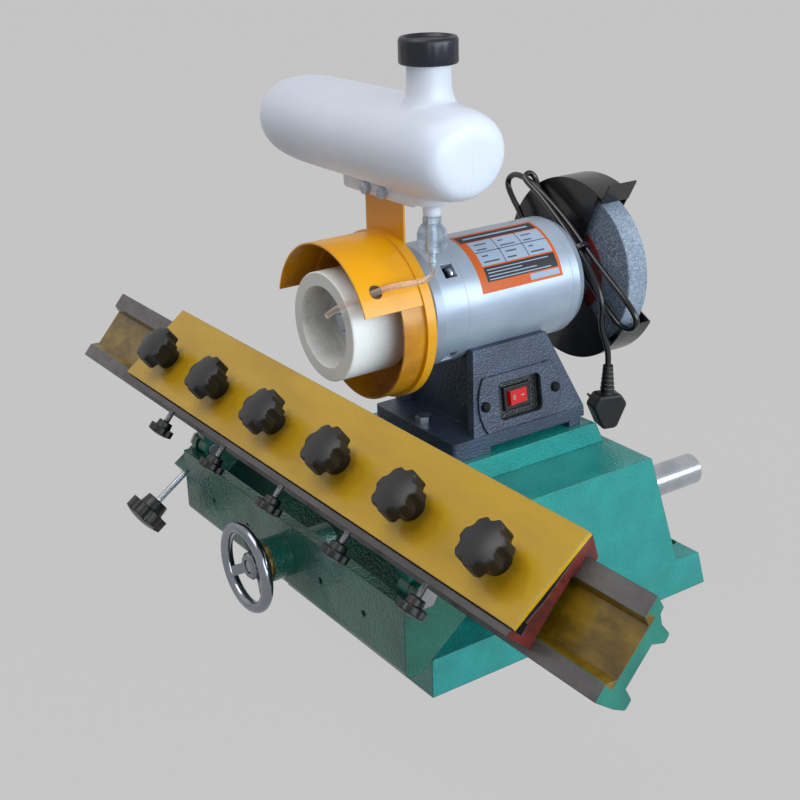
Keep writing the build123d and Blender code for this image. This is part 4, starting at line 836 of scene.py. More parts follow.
@dataclass(frozen=True)
class GrindingStone(Finish):
    """Bonded abrasive: speckled grains with open pores, paler where the rim is dressed.

    Attributes:
        grit: Scale of the grains.
        dark: Colour of the dark grains.
        rim_radius: Radius of the dressed rim.
        rim: Colour of the rim.
        face_y: Place of the working face, which is nearer the operator than this.
        face: Colour of the face.
        contrast: Strength of the speckles.
        inner_radius: Radius within which it turns darker and patchy.
        inner: Colour that it turns to there.
    """

    grit: float = 700.0
    dark: Colour = (0.1, 0.1, 0.12)
    rim_radius: float = 1.0
    rim: Colour = (0.6, 0.65, 0.7)
    face_y: float = -1.0
    face: Colour = (0.5, 0.5, 0.5)
    contrast: float = 0.5
    inner_radius: float = 0.0
    inner: Colour = (0.4, 0.4, 0.38)

    PALE_GRAIN = (0.86, 0.9, 0.94)
    RIM_DEPTH = 0.0008
    INNER_FADE = 0.001
    FACE_SHARE = 0.75
    PALE_SHARE = 0.7
    PATCH_SHARE = 0.35

    def make(self) -> bpy.types.Material:
        """Grains of three tones with a pitted surface, darker and patchy inside.

        Returns:
            The material.
        """
        material, w, shader = self.start()
        here = w.place()
        cells = w.add("TexVoronoi", feature="F1")
        w.feed(cells.inputs["Vector"], here)
        cells.inputs["Scale"].default_value = self.grit
        split = w.add("SeparateColor")
        w.feed(split.inputs[0], cells.outputs["Color"])
        patches = w.effect("Grain", Vector=here, Scale=self.grain, Blotch=self.blotch).outputs["Value"]
        dressed = w.ramp(w.radius(), self.rim_radius - self.RIM_DEPTH, self.rim_radius)
        colour = w.mix(dressed, self.colour, self.rim)
        front = w.math("LESS_THAN", w.along(Y_AXIS), self.face_y)
        colour = w.mix(w.times(front, self.FACE_SHARE), colour, self.face)
        inner_patches = w.effect("Grime", Vector=here, Scale=26.0, Amount=0.5).outputs[0]
        darkened_inside = w.mix(inner_patches, self.inner, toned(self.inner, 0.55))
        inside = w.ramp(w.radius(), self.inner_radius, self.inner_radius - self.INNER_FADE)
        colour = w.mix(inside, colour, darkened_inside)
        dark = w.ramp(split.outputs[0], 0.5, 1.0, 0.0, self.contrast)
        pale = w.ramp(split.outputs[1], 0.6, 1.0, 0.0, self.contrast * self.PALE_SHARE)
        colour = w.mix(pale, w.mix(dark, colour, self.dark), self.PALE_GRAIN)
        w.feed(shader.inputs["Base Color"], w.mix(w.times(patches, self.PATCH_SHARE), colour, self.shade))
        w.feed(shader.inputs["Roughness"], w.ramp(split.outputs[2], 0.0, 1.0, self.roughness, 0.95))
        w.feed(shader.inputs["Normal"], self.bumped(w, cells.outputs["Distance"], self.bump))
        return material


@dataclass(frozen=True)
class BlownPlastic(Finish):
    """Milky blow-moulded plastic with soft depth, a faint mould seam and a faint painted glow.

    Attributes:
        depth: How far light scatters in it, in metres.
        seam: Half width of the mould's seam.
        glow: Strength of its painted glow, which lightens its shaded sides.
    """

    depth: float = 0.02
    seam: float = 0.0008
    glow: float = 0.09

    SEAM_SHARE = 0.25
    SEAM_RIDGE = 3.0
    SCATTER = 0.6

    def make(self) -> bpy.types.Material:
        """Pale plastic that scatters light and glows a little, cloudy in patches.

        Returns:
            The material.
        """
        material, w, shader = self.start()
        grain, colour = self.grained(w, w.place())
        across = w.math("ABSOLUTE", w.along(Y_AXIS, (0.0, TANK_MIDDLE_Y, 0.0)))
        seam = w.ramp(across, self.seam, 0.0)
        w.feed(shader.inputs["Base Color"], w.mix(w.times(seam, self.SEAM_SHARE), colour, self.shade))
        w.feed(shader.inputs["Roughness"], self.gloss(w, grain.outputs["Value"], 1.2, 0.8))
        height = w.math("ADD", grain.outputs["Height"], w.times(seam, self.SEAM_RIDGE))
        w.feed(shader.inputs["Normal"], self.bumped(w, height, self.bump))
        # Painted light: the plastic glows in its own colour, lifting its shaded underside.
        w.feed(shader.inputs["Emission Color"], colour)
        shader.inputs["Emission Strength"].default_value = self.glow
        shader.inputs["Subsurface Weight"].default_value = self.SCATTER
        shader.inputs["Subsurface Radius"].default_value = (1.0, 1.0, 1.0)
        shader.inputs["Subsurface Scale"].default_value = self.depth
        return material


@dataclass(frozen=True)
class ClearTube(Finish):
    """Clear flexible tube.

    Attributes:
        clear: Share of the light that passes through.
        bend: Index of refraction.
    """

    clear: float = 0.85
    bend: float = 1.4

    def make(self) -> bpy.types.Material:
        """Slightly clouded transmission.

        Returns:
            The material.
        """
        material, w, shader = self.start()
        grain, colour = self.grained(w, w.place())
        w.feed(shader.inputs["Base Color"], colour)
        w.feed(shader.inputs["Roughness"], self.gloss(w, grain.outputs["Value"], 1.5, 1.0))
        shader.inputs["Transmission Weight"].default_value = self.clear
        shader.inputs["IOR"].default_value = self.bend
        return material


@dataclass(frozen=True)
class LitRocker(Finish):
    """Red rocker with a neon lamp behind it.

    Attributes:
        glow: Strength of the lamp.
    """

    glow: float = 0.3

    def make(self) -> bpy.types.Material:
        """Red plastic that glows a little.

        Returns:
            The material.
        """
        material, w, shader = self.start()
        grain, colour = self.grained(w, w.place())
        w.feed(shader.inputs["Base Color"], colour)
        w.feed(shader.inputs["Emission Color"], colour)
        shader.inputs["Emission Strength"].default_value = self.glow
        w.feed(shader.inputs["Roughness"], self.gloss(w, grain.outputs["Value"], 1.0, 1.3))
        return material


@dataclass(frozen=True)
class TwoTone(Finish):
    """Plated fasteners, blackened below a height.

    Attributes:
        limit: The height.
        below: Colour of the black oxide.
    """

    limit: float = 0.25
    below: Colour = (0.02, 0.02, 0.02)

    def make(self) -> bpy.types.Material:
        """Plating above the limit and black oxide below it.

        Returns:
            The material.
        """
        material, w, shader = self.start()
        here = w.place()
        grain, colour = self.grained(w, here)
        lower = w.math("LESS_THAN", w.along(Z_AXIS), self.limit)
        rounded = self.edged(w, here).outputs["Normal"]
        w.feed(shader.inputs["Base Color"], w.mix(lower, colour, self.below))
        w.feed(shader.inputs["Roughness"], self.gloss(w, grain.outputs["Value"], 1.2, 0.85))
        w.feed(shader.inputs["Normal"], self.bumped(w, grain.outputs["Height"], self.bump, rounded))
        return material


class Paint:
    """Every finish of the machine, made once when first asked for."""

    SLATE_CHIP = srgb(24, 26, 30)
    # What follows the limits in a Region: the whole height, both colours and the dirt.
    REPAINTED_END = (0.0, srgb(138, 48, 40), srgb(92, 34, 30), 0.85)

    FINISHES: dict[str, Finish] = {
        finish.name: finish
        for finish in (
            HammeredEnamel(
                "hammered_green", srgb(34, 152, 146), srgb(24, 132, 128), 0.24, coat=0.12,
                cell=430.0, depth=0.00042, chip=srgb(20, 74, 66), dirt=0.36,
            ),
            # Darker copy of the base's green: painted shade of the beam falling over the front trough.
            HammeredEnamel(
                "trough_green_shaded", srgb(18, 106, 88), srgb(11, 76, 64), 0.22, coat=0.15,
                cell=430.0, depth=0.0005, chip=srgb(10, 36, 30), dirt=0.44,
            ),
            HammeredEnamel(
                "slate_casting", srgb(62, 77, 102), srgb(43, 54, 72), 0.34, coat=0.1,
                cell=560.0, depth=0.0006, chip=SLATE_CHIP, wear=0.3, dirt=0.42,
            ),
            SunkenCasting(
                "cover_slate", srgb(58, 72, 95), srgb(42, 52, 70), 0.34, coat=0.1,
                cell=560.0, depth=0.0006, chip=SLATE_CHIP, wear=0.3, dirt=0.42,
            ),
            WornPaint(
                "plate_yellow", srgb(202, 161, 22), srgb(192, 150, 24), 0.28, coat=0.1,
                dirt=0.38, dirt_colour=srgb(124, 98, 46), knob_reflection=srgb(184, 138, 14),
            ),
            MachinedCasting(
                "beam_green", srgb(32, 128, 112), srgb(22, 100, 88), 0.24,
                regions=(
                    Region(
                        tuple(OFF_RAILS), -0.0084, -0.0006, 0.0262,
                        srgb(146, 116, 22), srgb(108, 82, 18), 0.6, facing=False,
                    ),
                    Region(
                        tuple(OFF_RAILS), -0.0006, 0.004, 0.0,
                        srgb(104, 100, 100), srgb(84, 80, 81), 0.4,
                    ),
                ),
            ),
            MachinedCasting(
                "carriage_iron", srgb(88, 84, 85), srgb(60, 56, 58), 0.4, hammered=False,
                regions=(
                    Region((1.0, 0.0, 0.0), 0.3, 0.4, *REPAINTED_END),
                    Region((-1.0, 0.0, 0.0), 0.2, 0.4, *REPAINTED_END),
                ),
            ),
            Finish("steel", srgb(186, 190, 196), srgb(150, 154, 162), 0.28, 1.0, bump=0.00003),
            Finish("chrome", srgb(150, 153, 161), srgb(124, 127, 136), 0.17, 1.0, bump=0.00002),
            Finish(
                "ground_bar", srgb(214, 219, 226), srgb(176, 181, 190), 0.2, 1.0,
                bump=0.00002, grain=500.0,
            ),
            Finish("zinc", srgb(206, 214, 224), srgb(168, 176, 188), 0.28, 1.0, bump=0.00004),
            Finish(
                "cast_zinc", srgb(196, 210, 226), srgb(140, 154, 172), 0.34, 0.45,
                bump=0.0003, grain=420.0, blotch=160.0,
            ),
            TwoTone(
                "screw_plating", srgb(190, 198, 210), srgb(150, 158, 170), 0.34, 0.8,
                bump=0.00004, below=srgb(26, 27, 30),
            ),
            Finish("brass", srgb(200, 160, 90), srgb(160, 124, 66), 0.35, 1.0),
            Finish("core_iron", srgb(120, 96, 78), srgb(90, 72, 60), 0.5, 0.8),
            Finish(
                "black_plastic", srgb(12, 13, 15), srgb(8, 9, 11), 0.36,
                bump=0.00003, grain=1400.0, edge=0.0022,
            ),
            Finish("cap_black", srgb(14, 18, 36), srgb(9, 12, 26), 0.36, bump=0.00003, grain=1400.0),
            Finish("bezel_plastic", srgb(16, 17, 21), srgb(11, 12, 15), 0.24, coat=0.2, bump=0.00004),
            Finish("rubber", srgb(13, 14, 17), srgb(9, 10, 12), 0.2, coat=0.35, bump=0.00003, grain=1600.0),
            Finish("tie_clear", srgb(34, 36, 40), srgb(24, 26, 29), 0.24, coat=0.3),
            RoundFinish(
                "silver_paint", srgb(170, 182, 200), srgb(156, 169, 188), 0.3, 0.35, 0.1,
                bump=0.00003, inner_radius=0.01,
            ),
            # The inner, darker yellow is painted shade inside the guard.
            RoundFinish(
                "guard_yellow", srgb(236, 166, 2), srgb(224, 152, 1), 0.3, coat=0.15,
                bump=0.00004, blotch=12.0, inner_radius=0.0698, inner=srgb(176, 114, 2),
            ),
            RoundFinish("guard_black", srgb(15, 15, 18), srgb(10, 10, 12), 0.26, coat=0.2),
            GrindingStone(
                "white_stone", srgb(244, 246, 248), srgb(228, 230, 232), 0.8, bump=0.0001,
                grit=1300.0, dark=srgb(212, 212, 211), face_y=-0.1812, face=srgb(198, 198, 195),
                contrast=0.4, inner_radius=0.0356, inner=srgb(208, 206, 200),
            ),
            GrindingStone(
                "grey_stone", srgb(96, 110, 130), srgb(82, 96, 116), 0.85, bump=0.0003,
                grit=1050.0, dark=srgb(54, 64, 80), rim_radius=0.0758, rim=srgb(142, 158, 178),
                contrast=0.6,
            ),
            BlownPlastic(
                "tank_plastic", srgb(216, 222, 234), srgb(205, 212, 227), 0.36,
                bump=0.00004, grain=200.0, blotch=9.0,
            ),
            LitRocker("red_plastic", srgb(178, 14, 18), srgb(140, 8, 12), 0.16, coat=0.3),
            ClearTube("clear_hose", srgb(244, 234, 228), srgb(232, 214, 206), 0.12, grain=400.0, blotch=60.0),
            Finish("print_orange", srgb(206, 92, 10), srgb(196, 84, 8), 0.5),
            Finish("print_dark", srgb(26, 28, 38), srgb(20, 22, 31), 0.5),
            Finish("print_pale", srgb(160, 176, 198), srgb(150, 166, 188), 0.5),
            Finish("print_grey", srgb(70, 78, 92), srgb(60, 68, 82), 0.5),
            Finish("mark_white", srgb(226, 222, 218), srgb(214, 210, 206), 0.35, coat=0.3),
            Finish("washer_red", srgb(132, 26, 24), srgb(92, 20, 20), 0.7),
            Finish("recess_black", srgb(22, 22, 24), srgb(14, 14, 16), 0.6),
        )
    }
    _made: dict[str, bpy.types.Material] = {}

    @classmethod
    def get(cls, name: str) -> bpy.types.Material:
        """Material of a finish.

        Args:
            name: Name of the finish.

        Returns:
            The material, made now if it is asked for the first time.
        """
        if name not in cls._made:
            cls._made[name] = cls.FINISHES[name].make()
        return cls._made[name]


# ---------------------------------------------------------------- pieces
class Shape:
    """A mesh under construction in its own frame, with Z as its axis."""

    def __init__(self, name: str) -> None:
        """Start an empty mesh."""
        self.name = name
        self.bm = bmesh.new()

    def _closed_up(self) -> Shape:
        """Merge doubles and turn the faces outwards.

        Returns:
            The shape itself.
        """
        bmesh.ops.remove_doubles(self.bm, verts=self.bm.verts, dist=MERGE)
        bmesh.ops.recalc_face_normals(self.bm, faces=self.bm.faces)
        return self

    def lathe(
        self,
        profile: Iterable[tuple[float, float]],
        steps: int = 48,
        turn: float = 2 * math.pi,
        rise: float = 0.0,
    ) -> Shape:
        """Spin an open (radius, height) profile about Z.

        Args:
            profile: Points of the profile.
            steps: Number of steps.
            turn: Angle of the whole spin.
            rise: Climb of the whole spin, for a thread.

        Returns:
            The shape itself.
        """
        verts = [self.bm.verts.new((radius, 0.0, height)) for radius, height in profile]
        edges = [self.bm.edges.new(pair) for pair in zip(verts, verts[1:])]
        full = abs(turn - 2 * math.pi) < 1e-6 and rise == 0.0
        bmesh.ops.spin(
            self.bm, geom=verts + edges, cent=(0, 0, 0), axis=(0, 0, 1), dvec=(0, 0, rise / steps),
            angle=turn, steps=steps, use_merge=full,
        )
        return self._closed_up()

    def block(self, size: Point, centre: Point = (0.0, 0.0, 0.0), bevel: float = 0.0) -> Shape:
        """Add a box with bevelled edges.

        Args:
            size: Its three sizes.
            centre: Its middle.
            bevel: Width of its bevels.

        Returns:
            The shape itself.
        """
        made = bmesh.ops.create_cube(self.bm, size=1.0)["verts"]
        bmesh.ops.scale(self.bm, vec=size, verts=made)
        bmesh.ops.translate(self.bm, vec=centre, verts=made)
        if bevel:
            edges = list({edge for vert in made for edge in vert.link_edges})
            bmesh.ops.bevel(
                self.bm, geom=edges, offset=bevel, segments=2, profile=0.5, affect="EDGES", material=-1
            )
        return self

    def egg(
        self, half: Point, centre: Point, end: float, power: float, narrow: float, steps: int = 72
    ) -> Shape:
        """Add a rounded barrel along X, narrower towards its underside.

        Args:
            half: Half sizes.
            centre: Its middle.
            end: Squareness of its ends, 2 for an ellipsoid.
            power: Squareness of its section.
            narrow: Share that its width changes by between middle and top.
            steps: Steps round it.

        Returns:
            The shape itself.
        """
        ball = bmesh.ops.create_uvsphere(self.bm, u_segments=steps, v_segments=steps // 2, radius=1.0)
        made = ball["verts"]

        def square(value: float, power: float) -> float:
            """Signed power of a coordinate."""
            return math.copysign(abs(value) ** (2 / power), value)

        for vert in made:
            along, around = vert.co.z, math.hypot(vert.co.x, vert.co.y)
            y, z = (vert.co.x / around, vert.co.y / around) if around > 1e-6 else (0.0, 0.0)
            ring = around ** (2 / end)
            y, z = square(y, power) * ring, square(z, power) * ring
            vert.co = (square(along, end) * half[0], y * half[1] * (1 + narrow * z), z * half[2])
        bmesh.ops.translate(self.bm, vec=centre, verts=made)
        return self._closed_up()

    def fluted(self, count: int, depth: float, low: float, high: float, round_off: float = 0.6) -> Shape:
        """Press flutes into the round side between two heights.

        Args:
            count: Number of flutes.
            depth: Depth of a flute.
            low: Lower height.
            high: Upper height.
            round_off: Power of the wave, less than one for broad ridges.

        Returns:
            The shape itself.
        """
        for vert in self.bm.verts:
            radius = math.hypot(vert.co.x, vert.co.y)
            if low < vert.co.z < high and radius > 1e-5:
                wave = 0.5 + 0.5 * math.cos(count * math.atan2(vert.co.y, vert.co.x))
                share = 1 - depth * (1 - wave ** round_off) / radius
                vert.co.x *= share
                vert.co.y *= share
        return self

    def moved(self, matrix: Matrix) -> Shape:
        """Move everything made so far."""
        bmesh.ops.transform(self.bm, matrix=matrix, verts=self.bm.verts)
        return self

    def shifted(self, x: float, y: float, z: float) -> Shape:
        """Shift everything made so far."""
        return self.moved(Matrix.Translation((x, y, z)))

    def done(self, body: Body | str, finish: str, slot: Slot, smooth: bool = True) -> bpy.types.Object:
        """Turn the shape into a piece.

        Args:
            body: Body it rides on.
            finish: Name of its finish.
            slot: Material slot of the record; not used.
            smooth: Whether its faces are shaded smooth.

        Returns:
            The piece.
        """
        mesh = bpy.data.meshes.new(self.name)
        for face in self.bm.faces:
            face.smooth = smooth
        self.bm.to_mesh(mesh)
        self.bm.free()
        piece = bpy.data.objects.new(self.name, mesh)
        bpy.context.scene.collection.objects.link(piece)
        mesh.materials.append(Paint.get(finish))
        rides_on = body.value if isinstance(body, Body) else body
        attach(piece, rides_on)
        LOG.info("piece %s on %s", self.name, rides_on)
        return piece


def fused(piece: bpy.types.Object, grid: float, passes: int) -> None:
    """Melt a piece's overlapping shells into one soft skin, in place.

    Args:
        piece: The piece.
        grid: Size of the cells, in metres.
        passes: Rounds of smoothing.
    """
    remesh = piece.modifiers.new("melt", "REMESH")
    remesh.mode = "VOXEL"
    remesh.voxel_size = grid
    remesh.use_smooth_shade = True
    smooth = piece.modifiers.new("soften", "SMOOTH")
    smooth.factor = 0.5
    smooth.iterations = passes
    graph = bpy.context.evaluated_depsgraph_get()
    skin = bpy.data.meshes.new_from_object(piece.evaluated_get(graph))
    skin.name = piece.name
    piece.modifiers.clear()
    old = piece.data
    piece.data = skin
    bpy.data.meshes.remove(old)


def frame_at(origin: Vector | Point, axis: Vector | Point, hint: Vector | Point = X_AXIS) -> Matrix:
    """Matrix of a frame with Z along an axis and X near a hint.

    Args:
        origin: Its origin.
        axis: Its Z.
        hint: About where its X points.

    Returns:
        The matrix.
    """
    z = Vector(axis).normalized()
    x = (Vector(hint) - z * Vector(hint).dot(z)).normalized()
    y = z.cross(x)
    matrix = Matrix((x, y, z)).transposed().to_4x4()
    matrix.translation = Vector(origin)
    return matrix


def soft_line(name: str, points: Sequence[Point], radius: float, finish: str) -> bpy.types.Object:
    """Round cord along one open NURBS spline.

    Args:
        name: Name of the piece.
        points: Control points.
        radius: Its radius.
        finish: Name of its finish.

    Returns:
        The curve.
    """
    data = bpy.data.curves.new(name, "CURVE")
    data.dimensions = "3D"
    data.bevel_depth = radius
    data.bevel_resolution = 6
    data.resolution_u = 10
    data.use_fill_caps = True
    spline = data.splines.new("NURBS")
    spline.points.add(len(points) - 1)
    for point, place in zip(spline.points, points):
        point.co = (*place, 1.0)
    spline.order_u = 3
    spline.use_endpoint_u = True
    spline.use_smooth = True
    data.materials.append(Paint.get(finish))
    piece = bpy.data.objects.new(name, data)
    bpy.context.scene.collection.objects.link(piece)
    return piece


# ---------------------------------------------------------------- sub-assemblies
@dataclass(frozen=True)
class Lamp:
    """Square soft lamp.

    Attributes:
        name: Its name.
        place: Where it hangs.
        size: Its side.
        power: Its power, in watts.
        tint: Its colour.
    """

    name: str
    place: Point
    size: float
    power: float
    tint: Colour

    def hang(self, aim: Point) -> None:
        """Hang the lamp.

        Args:
            aim: Point that it faces.
        """
        data = bpy.data.lights.new(self.name, "AREA")
        data.size = self.size
        data.energy = self.power
        data.color = self.tint
        lamp = bpy.data.objects.new(self.name, data)
        lamp.matrix_world = frame_at(self.place, Vector(self.place) - Vector(aim))
        bpy.context.scene.collection.objects.link(lamp)


@dataclass
class Studio:
    """Camera, floor, world and soft lamps.

    Attributes:
        camera_place: Where the camera stands.
        azimuth: Its angle round the machine, in degrees.
        elevation: Its angle above the floor, in degrees.
        roll: Its roll, in degrees.
        lens: Its focal length, in millimetres.
        sensor: Width of its sensor, in millimetres.
        sight: How far it sees.
        backdrop: Tone of the surroundings to the eye.
        bounce: Tone of the floor as the lamps light it.
        evenness: How little of the lamps' light the eye sees on the floor.
        ambient: Strength of the surroundings as a light.
        floor_side: Side of the floor.
        lamps_aim: Point that the lamps face.
    """

    camera_place: Point = (0.91893, -0.73135, 0.67020)
    azimuth: float = 55.79
    elevation: float = 22.01
    roll: float = -1.57
    lens: float = 61.22
    sensor: float = 36.0
    sight: float = 60.0
    backdrop: float = 0.584
    bounce: float = 0.30
    evenness: float = 0.94
    ambient: float = 0.42
    floor_side: float = 30.0
    lamps_aim: Point = (0.0, 0.0, 0.25)

    LAMPS = (
        Lamp("key", (1.9, 1.0, 0.85), 1.3, 26.0, (0.84, 0.94, 1.0)),
        Lamp("side", (1.95, -0.25, 0.75), 1.3, 22.0, (0.86, 0.95, 1.0)),
        Lamp("fill", (-1.75, -1.25, 1.45), 2.0, 3.0, (1.0, 0.98, 0.95)),
        Lamp("top", (-0.1, -0.9, 2.2), 1.4, 20.0, (1.0, 0.99, 0.97)),
    )

    def build(self) -> None:
        """Make everything that isn't part of the machine."""
        self._camera()
        self._world()
        self._floor()
        for lamp in self.LAMPS:
            lamp.hang(self.lamps_aim)
        bpy.context.scene.view_settings.view_transform = "Standard"

    def _camera(self) -> None:
        """Camera at the machine's main view."""
        data = bpy.data.cameras.new("camera")
        data.lens = self.lens
        data.sensor_width = self.sensor
        data.clip_end = self.sight
        data.dof.use_dof = False
        camera = bpy.data.objects.new("camera", data)
        turn, rise = math.radians(self.azimuth), math.radians(self.elevation)
        back = Vector((math.sin(turn) * math.cos(rise), -math.cos(turn) * math.cos(rise), math.sin(rise)))
        aim = (-back).to_track_quat("-Z", "Y").to_matrix().to_4x4()
        roll = Matrix.Rotation(math.radians(self.roll), 4, "Z")
        camera.matrix_world = Matrix.Translation(self.camera_place) @ aim @ roll
        bpy.context.scene.collection.objects.link(camera)
        bpy.context.scene.camera = camera

    @staticmethod
    def _seen(w: Wiring) -> Socket:
        """Mask of the rays that look at the surroundings.

        Args:
            w: Wiring of the tree.

        Returns:
            One where the eye, a mirror or clear plastic looks, and nought for the light itself.
        """
        path = w.add("LightPath")
        seen = w.math("MAXIMUM", path.outputs["Is Camera Ray"], path.outputs["Is Transmission Ray"])
        return w.math("MAXIMUM", seen, path.outputs["Is Glossy Ray"])

    @staticmethod
    def _plain(w: Wiring, kind: str, tone: float) -> Node:
        """Shader node of one grey tone.

        Args:
            w: Wiring of the tree.
            kind: Kind of the node.
            tone: The tone.

        Returns:
            The node.
        """
        node = w.add(kind)
        node.inputs["Color"].default_value = (tone, tone, tone, 1.0)
        return node

    @staticmethod
    def _blend(w: Wiring, factor: Socket, light: Node, plain: Node, output: str) -> None:
        """Lead a mix of two shaders to the tree's output.

        Args:
            w: Wiring of the tree.
            factor: Share of the plain shader.
            light: Shader that lights and is lit.
            plain: Shader that only shows.
            output: Kind of the output node.
        """
        both = w.add("MixShader")
        w.feed(both.inputs[0], factor)
        w.feed(both.inputs[1], light.outputs[0])
        w.feed(both.inputs[2], plain.outputs[0])
        w.feed(w.add(output).inputs["Surface"], both.outputs[0])

    def _world(self) -> None:
        """Even pale surroundings, weaker as a light than to the eye."""
        world = bpy.data.worlds.new("surroundings")
        world.use_nodes = True
        w = Wiring(world.node_tree)
        w.tree.nodes.clear()
        light = self._plain(w, "Background", self.backdrop)
        light.inputs["Strength"].default_value = self.ambient
        self._blend(w, self._seen(w), light, self._plain(w, "Background", self.backdrop), "OutputWorld")
        bpy.context.scene.world = world

    def _floor(self) -> None:
        """Plain pale floor that keeps the shadow."""
        bm = bmesh.new()
        bmesh.ops.create_grid(bm, x_segments=1, y_segments=1, size=self.floor_side / 2)
        mesh = bpy.data.meshes.new("floor")
        bm.to_mesh(mesh)
        bm.free()
        floor = bpy.data.objects.new("floor", mesh)
        bpy.context.scene.collection.objects.link(floor)
        material = bpy.data.materials.new("floor_pale")
        material.use_nodes = True
        w = Wiring(material.node_tree)
        w.tree.nodes.clear()
        matte = self._plain(w, "BsdfDiffuse", self.bounce)
        factor = w.times(self._seen(w), self.evenness)
        self._blend(w, factor, matte, self._plain(w, "Emission", self.backdrop), "OutputMaterial")
        mesh.materials.append(material)


@dataclass
class Castings:
    """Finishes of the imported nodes.

    Attributes:
        knobs: Number of clamp knobs.
        pushes: Number of push screws.
    """

    knobs: int = 6
    pushes: int = 5

    FINISH_OF = {
        "hammered_green": "base_casting saddle_casting slide_bracket",
        "trough_green_shaded": "front_trough",
        "slate_casting": "pedestal",
        "cover_slate": "switch_cover",
        "beam_green": "beam",
        "carriage_iron": "carriage",
        "plate_yellow": "clamp_plate",
        "steel": "lead_screw pivot_bolts bearings shaft",
        "ground_bar": "guide_bars",
        "chrome": "handwheel",
        "screw_plating": "case_screws",
        "zinc": "tilt_screw clamp_studs pedestal_bolts wheel_flanges spindle_nuts guard_screws",
        "cast_zinc": "cock_body cock_handle tank_bolts",
        "brass": "screw_bush slide_bushes feed_nut",
        "black_plastic": "tilt_knob capacitor mains_plug",
        "cap_black": "tank_cap",
        "bezel_plastic": "switch_bezel",
        "red_plastic": "switch_rocker",
        "silver_paint": "motor_shell bell_front bell_rear",
        "core_iron": "stator rotor_core",
        "white_stone": "cup_wheel",
        "grey_stone": "dry_wheel",
        "guard_yellow": "wet_guard tank_bracket",
        "guard_black": "dry_guard spark_plate",
        "tank_plastic": "water_tank",
        "rubber": "cord_gland",
    }

    def dress(self, nodes: dict[str, bpy.types.Object]) -> None:
        """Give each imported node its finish.

        Args:
            nodes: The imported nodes, by name.
        """
        chosen = {node: finish for finish, names in self.FINISH_OF.items() for node in names.split()}
        repeated = [f"star_knob_{number}" for number in range(1, self.knobs + 1)]
        repeated += [f"push_screw_{number}" for number in range(1, self.pushes + 1)]
        chosen.update(dict.fromkeys(repeated, "black_plastic"))
        for node, finish in chosen.items():
            mesh = nodes[node].data
            mesh.materials.clear()
            mesh.materials.append(Paint.get(finish))
        LOG.info("finishes on %d nodes", len(chosen))


